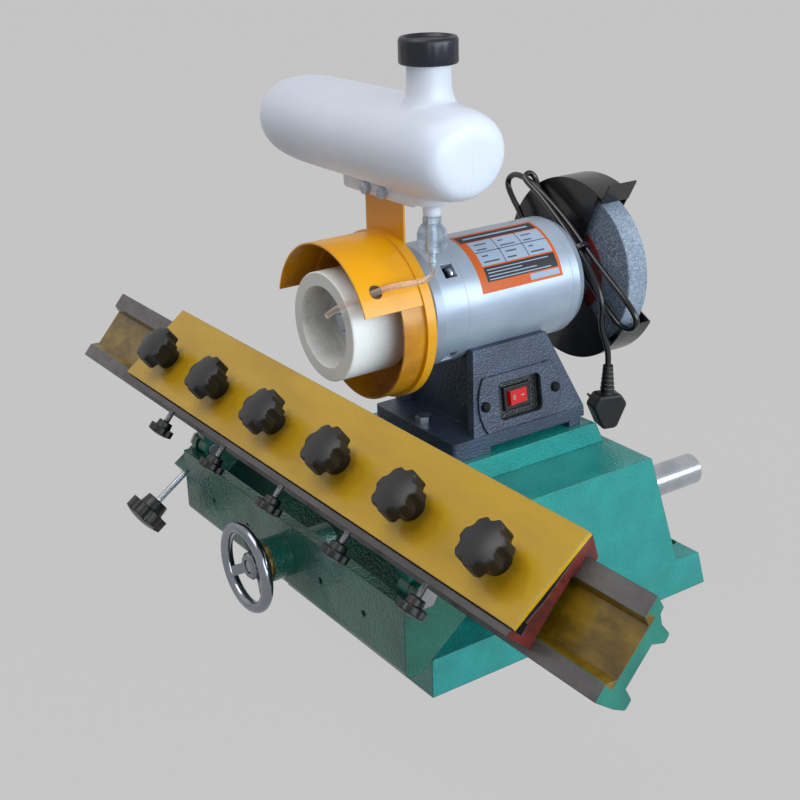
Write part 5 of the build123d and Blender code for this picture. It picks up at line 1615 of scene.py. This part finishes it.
@dataclass
class Cords:
    """Mains cord, its plug's boot and the water hose.

    Attributes:
        cord_radius: Radius of the cord.
        cord_length: Length of the real cord.
        hose_radius: Radius of the hose.
        hose_length: Length of the real hose.
        rings: Number of the boot's rings.
        first_ring: How far below the cord's end the first ring starts.
        ring_pitch: Distance from one ring to the next.
        ring_radius: Radius of the first ring.
        ring_growth: What each ring adds to the radius.
        ring_height: Height of a ring.
        ring_depth: How far a ring stands out.
        ring_chamfer: Width of its chamfers.
    """

    cord_radius: float = 0.0028
    cord_length: float = 0.895
    hose_radius: float = 0.0025
    hose_length: float = 0.110
    rings: int = 5
    first_ring: float = 0.004
    ring_pitch: float = 0.0042
    ring_radius: float = 0.0050
    ring_growth: float = 0.00042
    ring_height: float = 0.0024
    ring_depth: float = 0.0012
    ring_chamfer: float = 0.0004

    CORD_ROUTE = (
        (-0.0839, -0.0050, 0.2160), (-0.0987, -0.0050, 0.2184), (-0.112, 0.003, 0.215),
        (-0.121, 0.022, 0.216), (-0.122, 0.044, 0.229), (-0.112, 0.062, 0.252),
        (-0.094, 0.074, 0.274), (-0.070, 0.0785, 0.296), (-0.053, 0.0783, 0.322),
        (-0.057, 0.0778, 0.346), (-0.071, 0.0776, 0.360), (-0.080, 0.0776, 0.374),
        (-0.070, 0.0776, 0.384), (-0.052, 0.0776, 0.383), (-0.028, 0.0776, 0.373),
        (0.003, 0.0776, 0.356), (0.030, 0.0776, 0.336), (0.062, 0.0776, 0.313),
        (0.090, 0.0782, 0.295), (0.101, 0.0805, 0.280), (0.090, 0.0830, 0.2685),
        (0.073, 0.0838, 0.2685), (0.052, 0.0838, 0.284), (0.031, 0.0838, 0.303),
        (0.010, 0.0838, 0.327), (-0.015, 0.0838, 0.351), (-0.032, 0.0838, 0.366),
        (-0.042, 0.0838, 0.377), (-0.0465, 0.0838, 0.385), (-0.0476, 0.0775, 0.3888),
        (-0.046, 0.0712, 0.3852), (-0.040, 0.0712, 0.3805), (-0.028, 0.0712, 0.375),
        (-0.011, 0.0712, 0.364), (0.009, 0.0712, 0.350), (0.034, 0.0712, 0.330),
        (0.055, 0.0712, 0.310), (0.065, 0.0712, 0.289), (0.062, 0.0725, 0.267),
        (0.0635, 0.078, 0.251), (0.065, 0.080, 0.240), (0.065, 0.080, 0.229),
    )
    HOSE_ROUTE = (
        (0.072, -0.1205, 0.361), (0.072, -0.1205, 0.3560), (0.0713, -0.1255, 0.3520),
        (0.0685, -0.137, 0.3505), (0.0625, -0.1575, 0.3500), (0.0511, -0.173, 0.3418),
        (0.043, -0.184, 0.3365), (0.032, -0.1895, 0.330), (0.021, -0.190, 0.3225),
    )

    def build(self, nodes: dict[str, bpy.types.Object]) -> None:
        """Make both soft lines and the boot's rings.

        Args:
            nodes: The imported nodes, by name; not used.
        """
        rings = self._boot_rings()
        cord = soft_line("mains_cord_line", self.CORD_ROUTE, self.cord_radius, "rubber")
        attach(cord, Body.SADDLE.value)
        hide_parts("mains_cord")
        hose = soft_line("water_hose_line", self.HOSE_ROUTE, self.hose_radius, "clear_hose")
        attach(hose, Body.SADDLE.value)
        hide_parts("water_hose")
        LOG.info("cords made")

    def _boot_rings(self) -> bpy.types.Object:
        """Make the segments of the plug's flexible boot.

        Returns:
            The piece.
        """
        shape = Shape("plug_boot_rings")
        for number in range(self.rings):
            top = -self.first_ring - self.ring_pitch * number
            outer = self.ring_radius + self.ring_growth * number
            inner, bottom = outer - self.ring_depth, top - self.ring_height
            ring = [
                (inner, top), (outer, top - self.ring_chamfer),
                (outer, bottom + self.ring_chamfer), (inner, bottom),
            ]
            shape.lathe(ring, 32)
        return shape.shifted(*self.CORD_ROUTE[-1]).done(Body.SADDLE, "rubber", Slot.RUBBER)


@dataclass
class Nameplate:
    """Printed film on the motor shell, with bare panels and plain rules.

    Places on the plate are parts of its height and width, from its lower edge and
    from the edge nearest the operator.

    Attributes:
        radius: Radius of the lowest film.
        step: Thickness of a film.
        first_angle: Angle of the lower edge round the shell, in degrees.
        last_angle: Angle of the upper edge.
        left: Edge nearest the operator, along the spindle.
        right: The other edge.
        inner: Left and right edges of the table and the band.
        table: Lower and upper edges of the table.
        columns: Left edges of the rules between the table's columns.
        line: Height of a line on the band.
        line_pitch: Distance from one line to the next.
        print_height: Height of a line of print in the table.
        print_pitch: Distance from one line of print to the next.
    """

    radius: float = 0.0541
    step: float = 0.00006
    first_angle: float = 16.5
    last_angle: float = 86.0
    left: float = -0.054
    right: float = 0.035
    inner: tuple[float, float] = (0.09, 0.965)
    table: tuple[float, float] = (0.355, 0.775)
    columns: tuple[float, float] = (0.375, 0.665)
    line: float = 0.013
    line_pitch: float = 0.044
    print_height: float = 0.022
    print_pitch: float = 0.092

    PRINT_COLUMNS = ((0.13, 0.32), (0.42, 0.60), (0.71, 0.88))

    def patch(
        self, name: str, layer: int, low: float, high: float, left: float, right: float, finish: str
    ) -> None:
        """Curved patch of one print colour.

        Args:
            name: Name of the piece.
            layer: How many films it lies on.
            low: Lower edge, as a part of the plate's height.
            high: Upper edge.
            left: Left edge, as a part of its width.
            right: Right edge.
            finish: Print colour.
        """
        height = self.last_angle - self.first_angle
        start = math.radians(self.first_angle + low * height)
        turn = math.radians((high - low) * height)
        width = self.right - self.left
        radius = self.radius + layer * self.step
        y_from, y_to = self.left + left * width, self.left + right * width
        shape = Shape(name)
        shape.lathe([(radius, -y_from), (radius, -y_to)], max(3, int(math.degrees(turn) / 2)), turn)
        shape.moved(Matrix.Rotation(start, 4, "Z"))
        shape.moved(frame_at((0.0, 0.0, MOTOR_HEIGHT), TO_OPERATOR))
        inwards = []
        for face in shape.bm.faces:
            middle = face.calc_center_median()
            if face.normal.dot(middle - Vector((0, middle.y, MOTOR_HEIGHT))) < 0:
                inwards.append(face)
        bmesh.ops.reverse_faces(shape.bm, faces=inwards)
        shape.done(Body.SADDLE, finish, Slot.SILVER)

    def build(self) -> None:
        """Lay the films one over another."""
        self.patch("plate_border", 0, 0.0, 1.0, 0.0, 1.0, "print_orange")
        self.patch("plate_title", 1, 0.79, 0.955, 0.03, 0.97, "print_dark")
        self.patch("plate_title_bar", 2, 0.855, 0.89, 0.10, 0.90, "print_pale")
        self.patch("plate_table", 1, *self.table, *self.inner, "print_pale")
        self.patch("plate_band", 1, 0.135, 0.335, *self.inner, "print_dark")
        self.patch("plate_cell", 1, 0.035, 0.115, 0.60, self.inner[1], "print_pale")
        for line in range(4):
            level = 0.155 + self.line_pitch * line
            end = 0.88 - 0.17 * (line % 3)
            self.patch(f"plate_line_{line}", 2, level, level + self.line, 0.12, end, "print_pale")
        for column in self.columns:
            name = f"plate_column_{int(column * 1000)}"
            self.patch(name, 2, *self.table, column, column + 0.009, "print_dark")
        self.patch("plate_row", 2, 0.560, 0.572, *self.inner, "print_dark")
        self._prints()

    def _prints(self) -> None:
        """Lines of plain print in the table's cells, of uneven length."""
        for row in range(4):
            level = 0.395 + self.print_pitch * row + 0.02 * (row // 2)
            indent = 0.012 * (row % 2)
            for column, (start, end) in enumerate(self.PRINT_COLUMNS):
                cut = 0.035 * ((row * 3 + column * 2) % 4)
                name = f"plate_print_{row}_{column}"
                high = level + self.print_height
                self.patch(name, 2, level, high, start + indent, end - cut, "print_grey")


@dataclass
class Tank:
    """Blown tank with its neck, and its fluted cap.

    Attributes:
        low: Height of the barrel's underside.
        high: Height of its top.
        left: Its left end.
        right: Its right end.
        half_depth: Half its depth.
        swell: What its half height gains, to make up for the melting.
        neck_x: Place of the neck.
        neck_bore: Radius of the neck's bore.
        neck_outer: Radius of the neck's upper part.
        neck_top: Height of the neck's rim above the barrel.
        spout_x: Place of the spout's collar.
        rib_size: Sizes of the mounting rib.
        rib_y: Place of the mounting rib.
        skin_grid: Cell size of the melted skin.
        cap_low: Height of the cap's lower edge.
        cap_height: Height of the cap.
        cap_radius: Radius of the cap.
        cap_bore: Radius of its inside.
        flutes: Number of its flutes.
        flute_depth: Depth of a flute.
    """

    low: float = 0.419
    high: float = 0.493
    left: float = -0.139
    right: float = 0.125
    half_depth: float = 0.0432
    swell: float = 0.0006
    neck_x: float = 0.071
    neck_bore: float = 0.0138
    neck_outer: float = 0.0172
    neck_top: float = 0.0420
    spout_x: float = 0.072
    rib_size: Point = (0.103, 0.0078, 0.0285)
    rib_y: float = -0.1212
    skin_grid: float = 0.0016
    cap_low: float = 0.521
    cap_height: float = 0.020
    cap_radius: float = 0.023
    cap_bore: float = 0.0182
    flutes: int = 18
    flute_depth: float = 0.0005

    def build(self) -> None:
        """Make the tank, its thread and the cap."""
        self._skin()
        self._thread()
        self._cap()

    def _skin(self) -> None:
        """Barrel, open neck, spout collar and mounting rib, melted together."""
        low, top, bore = self.low, self.high, self.neck_bore
        shape = Shape("tank_skin")
        half = ((self.right - self.left) / 2, self.half_depth, (top - low) / 2 + self.swell)
        centre = ((self.left + self.right) / 2, TANK_MIDDLE_Y, (low + top) / 2)
        shape.egg(half, centre, end=6.4, power=2.04, narrow=0.07)
        shape.shifted(-self.neck_x, -TANK_MIDDLE_Y, 0.0)
        neck = [
            (bore, top - 0.010), (0.0224, top - 0.016), (0.0224, top - 0.0045), (0.0200, top + 0.0010),
            (0.0182, top + 0.0060), (0.0174, top + 0.0120), (self.neck_outer, top + self.neck_top),
            (bore, top + self.neck_top), (bore, top - 0.010),
        ]
        shape.lathe(neck, 64)
        shape.shifted(self.neck_x - self.spout_x, 0.0, 0.0)
        collar = [
            (0.0, low - 0.016), (0.0072, low - 0.016), (0.0076, low - 0.0062), (0.0148, low - 0.0056),
            (0.0162, low - 0.0032), (0.0166, low + 0.0030), (0.0190, low + 0.0110), (0.0190, low + 0.020),
            (0.0, low + 0.020),
        ]
        shape.lathe(collar)
        shape.shifted(self.spout_x, TANK_MIDDLE_Y, 0.0)
        shape.block(self.rib_size, (0.0, self.rib_y, low + 0.0005), 0.0025)
        piece = shape.done(Body.SADDLE, "tank_plastic", Slot.TANK)
        fused(piece, self.skin_grid, passes=8)
        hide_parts("water_tank")

    def _thread(self) -> None:
        """Two turns of thread on the neck, under the cap."""
        root, crest = self.neck_outer - 0.0004, self.neck_outer + 0.0006
        ridge = [(root, -0.0012), (crest, -0.0003), (crest, 0.0003), (root, 0.0012)]
        shape = Shape("neck_thread")
        shape.lathe(ridge, 130, turn=4 * math.pi, rise=0.007)
        shape.shifted(self.neck_x, TANK_MIDDLE_Y, self.high + 0.0320)
        shape.done(Body.SADDLE, "tank_plastic", Slot.TANK)

    def _cap(self) -> None:
        """Fluted cap with a sunk top."""
        low, outer, bore = self.cap_low, self.cap_radius, self.cap_bore
        high = low + self.cap_height
        steps_a_flute = 12
        profile = [
            (0.0, high - 0.0030), (outer - 0.0058, high - 0.0030), (outer - 0.0048, high - 0.0024),
            (outer - 0.0042, high - 0.0006), (outer - 0.0032, high), (outer - 0.0014, high - 0.0004),
            (outer - 0.0005, high - 0.0016), (outer, high - 0.0034), (outer, high - 0.0060),
            (outer, low + 0.0012), (outer - 0.0008, low), (bore, low), (bore, high - 0.0050),
            (0.0, high - 0.0050),
        ]
        shape = Shape("ribbed_cap")
        shape.lathe(profile, steps_a_flute * self.flutes)
        shape.fluted(self.flutes, self.flute_depth, low + 0.0016, high - 0.0040)
        shape.shifted(self.neck_x, TANK_MIDDLE_Y, 0.0)
        piece = shape.done(Body.CAP, "cap_black", Slot.BLACK)
        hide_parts("tank_cap")


@dataclass
class SwitchMarks:
    """White marks on the rocker, and the screws' pan heads and crosses.

    Attributes:
        seat: Place of the rocker's face above the cover's.
        pivot: Depth of the rocker's axis below its face.
        press: How far the rocker is pressed at rest, in degrees.
        mark_side: Distance of each mark from the rocker's middle.
        mark_lift: Height of the marks above the rocker's face.
        face_fall: Fall of each half of the rocker's face, from its edge to its middle.
        face_half: Length of that half.
        mark_depth: Thickness of the print.
        cover_screw: Distance of the cover's screws from its middle.
        cover_head: Height of their heads above the face's frame.
        bell_circle: Radius of the circle of the bell's screws.
        bell_seat: Place of their heads along the spindle.
        cross_length: Length of a cross's arms.
        cross_width: Width of its arms.
    """

    seat: float = -0.002
    pivot: float = 0.003
    press: float = 8.0
    mark_side: float = 0.0052
    mark_lift: float = 0.00102
    face_fall: float = 0.0012
    face_half: float = 0.0105
    mark_depth: float = 0.00012
    cover_screw: float = 0.0395
    cover_head: float = 0.0055
    bell_circle: float = 0.0475
    bell_seat: float = -0.077
    cross_length: float = 0.0052
    cross_width: float = 0.0011

    HEAD = (
        (0.0046, -0.0028), (0.0052, -0.0020), (0.0052, 0.0),
        (0.0046, 0.0010), (0.0030, 0.0016), (0.0, 0.0018),
    )

    @staticmethod
    def face() -> Matrix:
        """Frame of the switch: X along Y, Y up the slope, Z out."""
        return frame_at(SWITCH_CENTRE, SWITCH_OUT, Y_AXIS)

    def rocker(self) -> Matrix:
        """Frame of the rocker's face.

        Returns:
            The frame.
        """
        seat = Matrix.Translation((0.0, 0.0, self.seat))
        tilt = Matrix.Rotation(math.radians(self.press), 4, "Y")
        down = Matrix.Translation((0.0, 0.0, -self.pivot))
        return self.face() @ seat @ down @ tilt @ down.inverted()

    def build(self) -> None:
        """Make both marks, the pan heads and all the crosses."""
        self._marks()
        for side in (-1, 1):
            frame = self.face() @ Matrix.Translation((self.cover_screw * side, 0.0, self.cover_head))
            self._cross(f"cover_cross_{side + 2}", frame, 20.0 * side)
        for number in range(1, 5):
            angle = math.radians(90 * number - 45)
            height = MOTOR_HEIGHT + self.bell_circle * math.sin(angle)
            frame = frame_at((self.bell_circle * math.cos(angle), self.bell_seat, height), TO_OPERATOR)
            head = Shape(f"bell_head_{number}")
            head.lathe(self.HEAD, 32)
            head.moved(frame)
            head.done(Body.SADDLE, "zinc", Slot.ZINC)
            on_head = frame @ Matrix.Translation((0.0, 0.0, 0.0017))
            self._cross(f"bell_cross_{number}", on_head, 31.0 * number)

    def _marks(self) -> None:
        """Ring for off and bar for on, each on its half of the rocker."""
        frame = self.rocker()
        slope = math.atan2(self.face_fall, self.face_half)
        inner, outer, depth = 0.0010, 0.0017, self.mark_depth
        ring = Shape("mark_off")
        ring.lathe([(inner, 0.0), (inner, depth), (outer, depth), (outer, 0.0), (inner, 0.0)], 32)
        ring.moved(Matrix.Diagonal((1.0, 1.35, 1.0, 1.0)))
        bar = Shape("mark_on")
        bar.block((0.0034, 0.00085, depth), (0.0, 0.0, depth / 2), 0.00003)
        for side, shape in ((-1, ring), (1, bar)):
            place = Matrix.Translation((self.mark_side * side, 0.0, self.mark_lift))
            shape.moved(frame @ place @ Matrix.Rotation(-slope * side, 4, "Y"))
            shape.done(Body.ROCKER, "mark_white", Slot.RED)

    def _cross(self, name: str, frame: Matrix, turn: float) -> None:
        """Dark cross on a screw's head: painted shade in place of its cross recess.

        Args:
            name: Name of the piece.
            frame: Frame of the head's top.
            turn: How far the cross is turned, in degrees.
        """
        long, wide, thin = self.cross_length, self.cross_width, 0.0001
        shape = Shape(name)
        for arm in ((long, wide, thin), (wide, long, thin)):
            shape.block(arm, (0.0, 0.0, 0.00003), 0.00003)
        shape.moved(frame @ Matrix.Rotation(math.radians(turn), 4, "Z"))
        # Painted shade: a thin dark sheet where the recess would be.
        shape.done(Body.SADDLE, "recess_black", Slot.ZINC)


@dataclass
class WheelDetails:
    """Paper washer on the dry wheel, rivets of the guards and the tie round the cord.

    Attributes:
        wheel_face: Place of the dry wheel's face along the spindle.
        washer_inner: Inner radius of the paper washer.
        washer_outer: Its outer radius.
        washer_depth: Its thickness.
        washer_groove: Its thickness in the grooves.
        grooves: Number of its grooves.
        groove_pitch: Distance from one groove to the next.
        tie_inner: Inner radius of the tie.
        tie_outer: Its outer radius.
        tie_half: Half its width.
        tie_place: Its middle.
        tie_axis: Its axis.
        plate_turn: Angle of the spark plate round the dry wheel, in degrees.
        plate_reach: Distance of its rivet from the spindle.
        plate_rivet: Radius of that rivet.
        hood_turn: Angle of the wet guard's rivet round the spindle, in degrees.
        hood_radius: Distance of that rivet from the spindle.
        hood_rivet: Radius of that rivet.
    """

    wheel_face: float = 0.092
    washer_inner: float = 0.0285
    washer_outer: float = 0.0407
    washer_depth: float = 0.0004
    washer_groove: float = 0.00022
    grooves: int = 6
    groove_pitch: float = 0.0019
    tie_inner: float = 0.0050
    tie_outer: float = 0.0060
    tie_half: float = 0.0022
    tie_place: Point = (0.0315, 0.0744, 0.3338)
    tie_axis: Point = (-0.81, 0.0, 0.58)
    plate_turn: float = 60.0
    plate_reach: float = 0.090
    plate_rivet: float = 0.0022
    hood_turn: float = 118.0
    hood_radius: float = 0.071
    hood_rivet: float = 0.0016

    def build(self) -> None:
        """Make the washer, the rivets and the tie."""
        self._washer()
        for number, (place, axis, radius) in enumerate(self._rivets(), start=1):
            rivet = Shape(f"rivet_{number}")
            rivet.lathe([(radius, 0.0), (radius, 0.0004), (radius * 0.75, 0.0009), (0.0, 0.0011)], 24)
            rivet.moved(frame_at(place, axis))
            rivet.done(Body.SADDLE, "zinc" if number == 1 else "recess_black", Slot.ZINC)
        self._tie()

    def _washer(self) -> None:
        """Paper washer with fine grooves round it."""
        high, deep = self.washer_depth, self.washer_groove
        profile = [(self.washer_inner, 0.0)]
        for number in range(self.grooves):
            start = self.washer_inner + 0.0001 + self.groove_pitch * number
            profile += [(start, high), (start + 0.0013, high), (start + 0.0015, deep), (start + 0.0018, deep)]
        profile += [(self.washer_outer - 0.0002, high), (self.washer_outer, 0.0)]
        washer = Shape("paper_washer")
        washer.lathe(profile, 72)
        washer.moved(frame_at((0.0, self.wheel_face, MOTOR_HEIGHT), TO_OPERATOR))
        washer.done(Body.ROTOR, "washer_red", Slot.STONE)

    def _tie(self) -> None:
        """Oval tie round the doubled cord."""
        inner, outer, end = self.tie_inner, self.tie_outer, self.tie_half
        section = [
            (inner, -end), (outer - 0.0002, -end), (outer, 0.0004 - end), (outer, end - 0.0004),
            (outer - 0.0002, end), (inner, end), (inner, -end),
        ]
        tie = Shape("cord_tie")
        tie.lathe(section, 40)
        tie.moved(Matrix.Diagonal((1.35, 0.95, 1.0, 1.0)))
        tie.moved(frame_at(self.tie_place, self.tie_axis, Y_AXIS))
        tie.done(Body.SADDLE, "tie_clear", Slot.RUBBER)

    def _rivets(self) -> list[tuple[Vector, Vector, float]]:
        """Rivets of the spark plate and of the wet guard's hood.

        Returns:
            Place, direction and radius of each.
        """
        angle = math.radians(self.plate_turn)
        out = Vector((math.sin(angle), 0.0, -math.cos(angle)))
        middle = self.plate_reach
        on_plate = Vector((middle * math.cos(angle), 0.104, MOTOR_HEIGHT + middle * math.sin(angle)))
        hood = math.radians(self.hood_turn)
        side = Vector((math.cos(hood), 0.0, math.sin(hood)))
        on_hood = side * self.hood_radius + Vector((0.0, -0.157, MOTOR_HEIGHT))
        return [(on_plate + out * 0.0002, out, self.plate_rivet), (on_hood, side, self.hood_rivet)]


@dataclass
class Threads:
    """Screw threads on the rods that show them.

    Attributes:
        pushes: Number of push screws.
        first_push: Place along the beam one pitch before the first push screw.
        push_pitch: Distance from one push screw to the next.
        push_below: Place of the push threads up the slope.
        push_out: Their height above the rails.
        push_radius: Radius of the push screws.
        push_length: Length of their threads.
        push_lead: Pitch of their threads.
        tilt_rise: Slope of the tilt screw, in degrees.
        tilt_place: Point that the tilt screw's axis passes through.
        tilt_start: Where its thread begins, from that point.
        tilt_radius: Radius of the tilt screw.
        tilt_length: Length of its thread.
        tilt_lead: Pitch of its thread.
    """

    pushes: int = 5
    first_push: float = -0.261
    push_pitch: float = 0.1
    push_below: float = -0.0455
    push_out: float = 0.0183
    push_radius: float = 0.0025
    push_length: float = 0.0185
    push_lead: float = 0.0008
    tilt_rise: float = 34.8
    tilt_place: Point = (-0.195, -0.2705, 0.085)
    tilt_start: float = 0.0145
    tilt_radius: float = 0.003
    tilt_length: float = 0.066
    tilt_lead: float = 0.001

    STEPS_A_TURN = 14
    ROOT_DEPTH = 0.0001
    CREST_SHARE = 0.28
    HALF_SHARE = 0.42

    def helix(
        self,
        name: str,
        start: Vector,
        axis: Vector,
        radius: float,
        length: float,
        pitch: float,
        body: Body | str,
    ) -> None:
        """Thin steel ridge wound round a rod.

        Args:
            name: Name of the piece.
            start: Beginning of the thread on the axis.
            axis: Direction of the rod.
            radius: Radius of the rod.
            length: Length of the thread.
            pitch: Rise of one turn.
            body: Body it rides on.
        """
        turns = length / pitch
        root, crest = radius - self.ROOT_DEPTH, radius + pitch * self.CREST_SHARE
        half = pitch * self.HALF_SHARE
        ridge = [(root, -half), (crest, 0.0), (root, half)]
        shape = Shape(name)
        shape.lathe(ridge, int(turns * self.STEPS_A_TURN), turns * 2 * math.pi, length)
        shape.moved(frame_at(start, axis))
        shape.done(body, "steel", Slot.STEEL, smooth=False)

    def build(self) -> None:
        """Wind the threads that are open to view."""
        row = RAIL_ORIGIN + UP_SLOPE * self.push_below + OFF_RAILS * self.push_out
        for number in range(1, self.pushes + 1):
            start = row + X_AXIS * (self.first_push + self.push_pitch * number)
            name = f"push_thread_{number}"
            body = f"push_screw_{number}"
            self.helix(name, start, UP_SLOPE, self.push_radius, self.push_length, self.push_lead, body)
        rise = math.radians(self.tilt_rise)
        along = Vector((0.0, math.cos(rise), math.sin(rise)))
        start = Vector(self.tilt_place) + along * self.tilt_start
        radius, length, lead = self.tilt_radius, self.tilt_length, self.tilt_lead
        self.helix("tilt_thread", start, along, radius, length, lead, Body.TILT_SCREW)


@dataclass
class Machine:
    """The whole machine, sub-assembly by sub-assembly.

    Attributes:
        nodes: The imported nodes, by name.
    """

    nodes: dict[str, bpy.types.Object]

    def build(self) -> None:
        """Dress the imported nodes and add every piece."""
        Cords().build(self.nodes)
        Castings().dress(self.nodes)
        for assembly in (Nameplate(), Tank(), SwitchMarks(), WheelDetails(), Threads()):
            assembly.build()


def main() -> None:
    """Load the frame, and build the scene."""
    logging.basicConfig(level=logging.INFO, format="%(name)s: %(message)s")
    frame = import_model()
    Effects.build()
    Studio().build()
    Machine(frame["nodes"]).build()


if __name__ == "__main__":
    main()
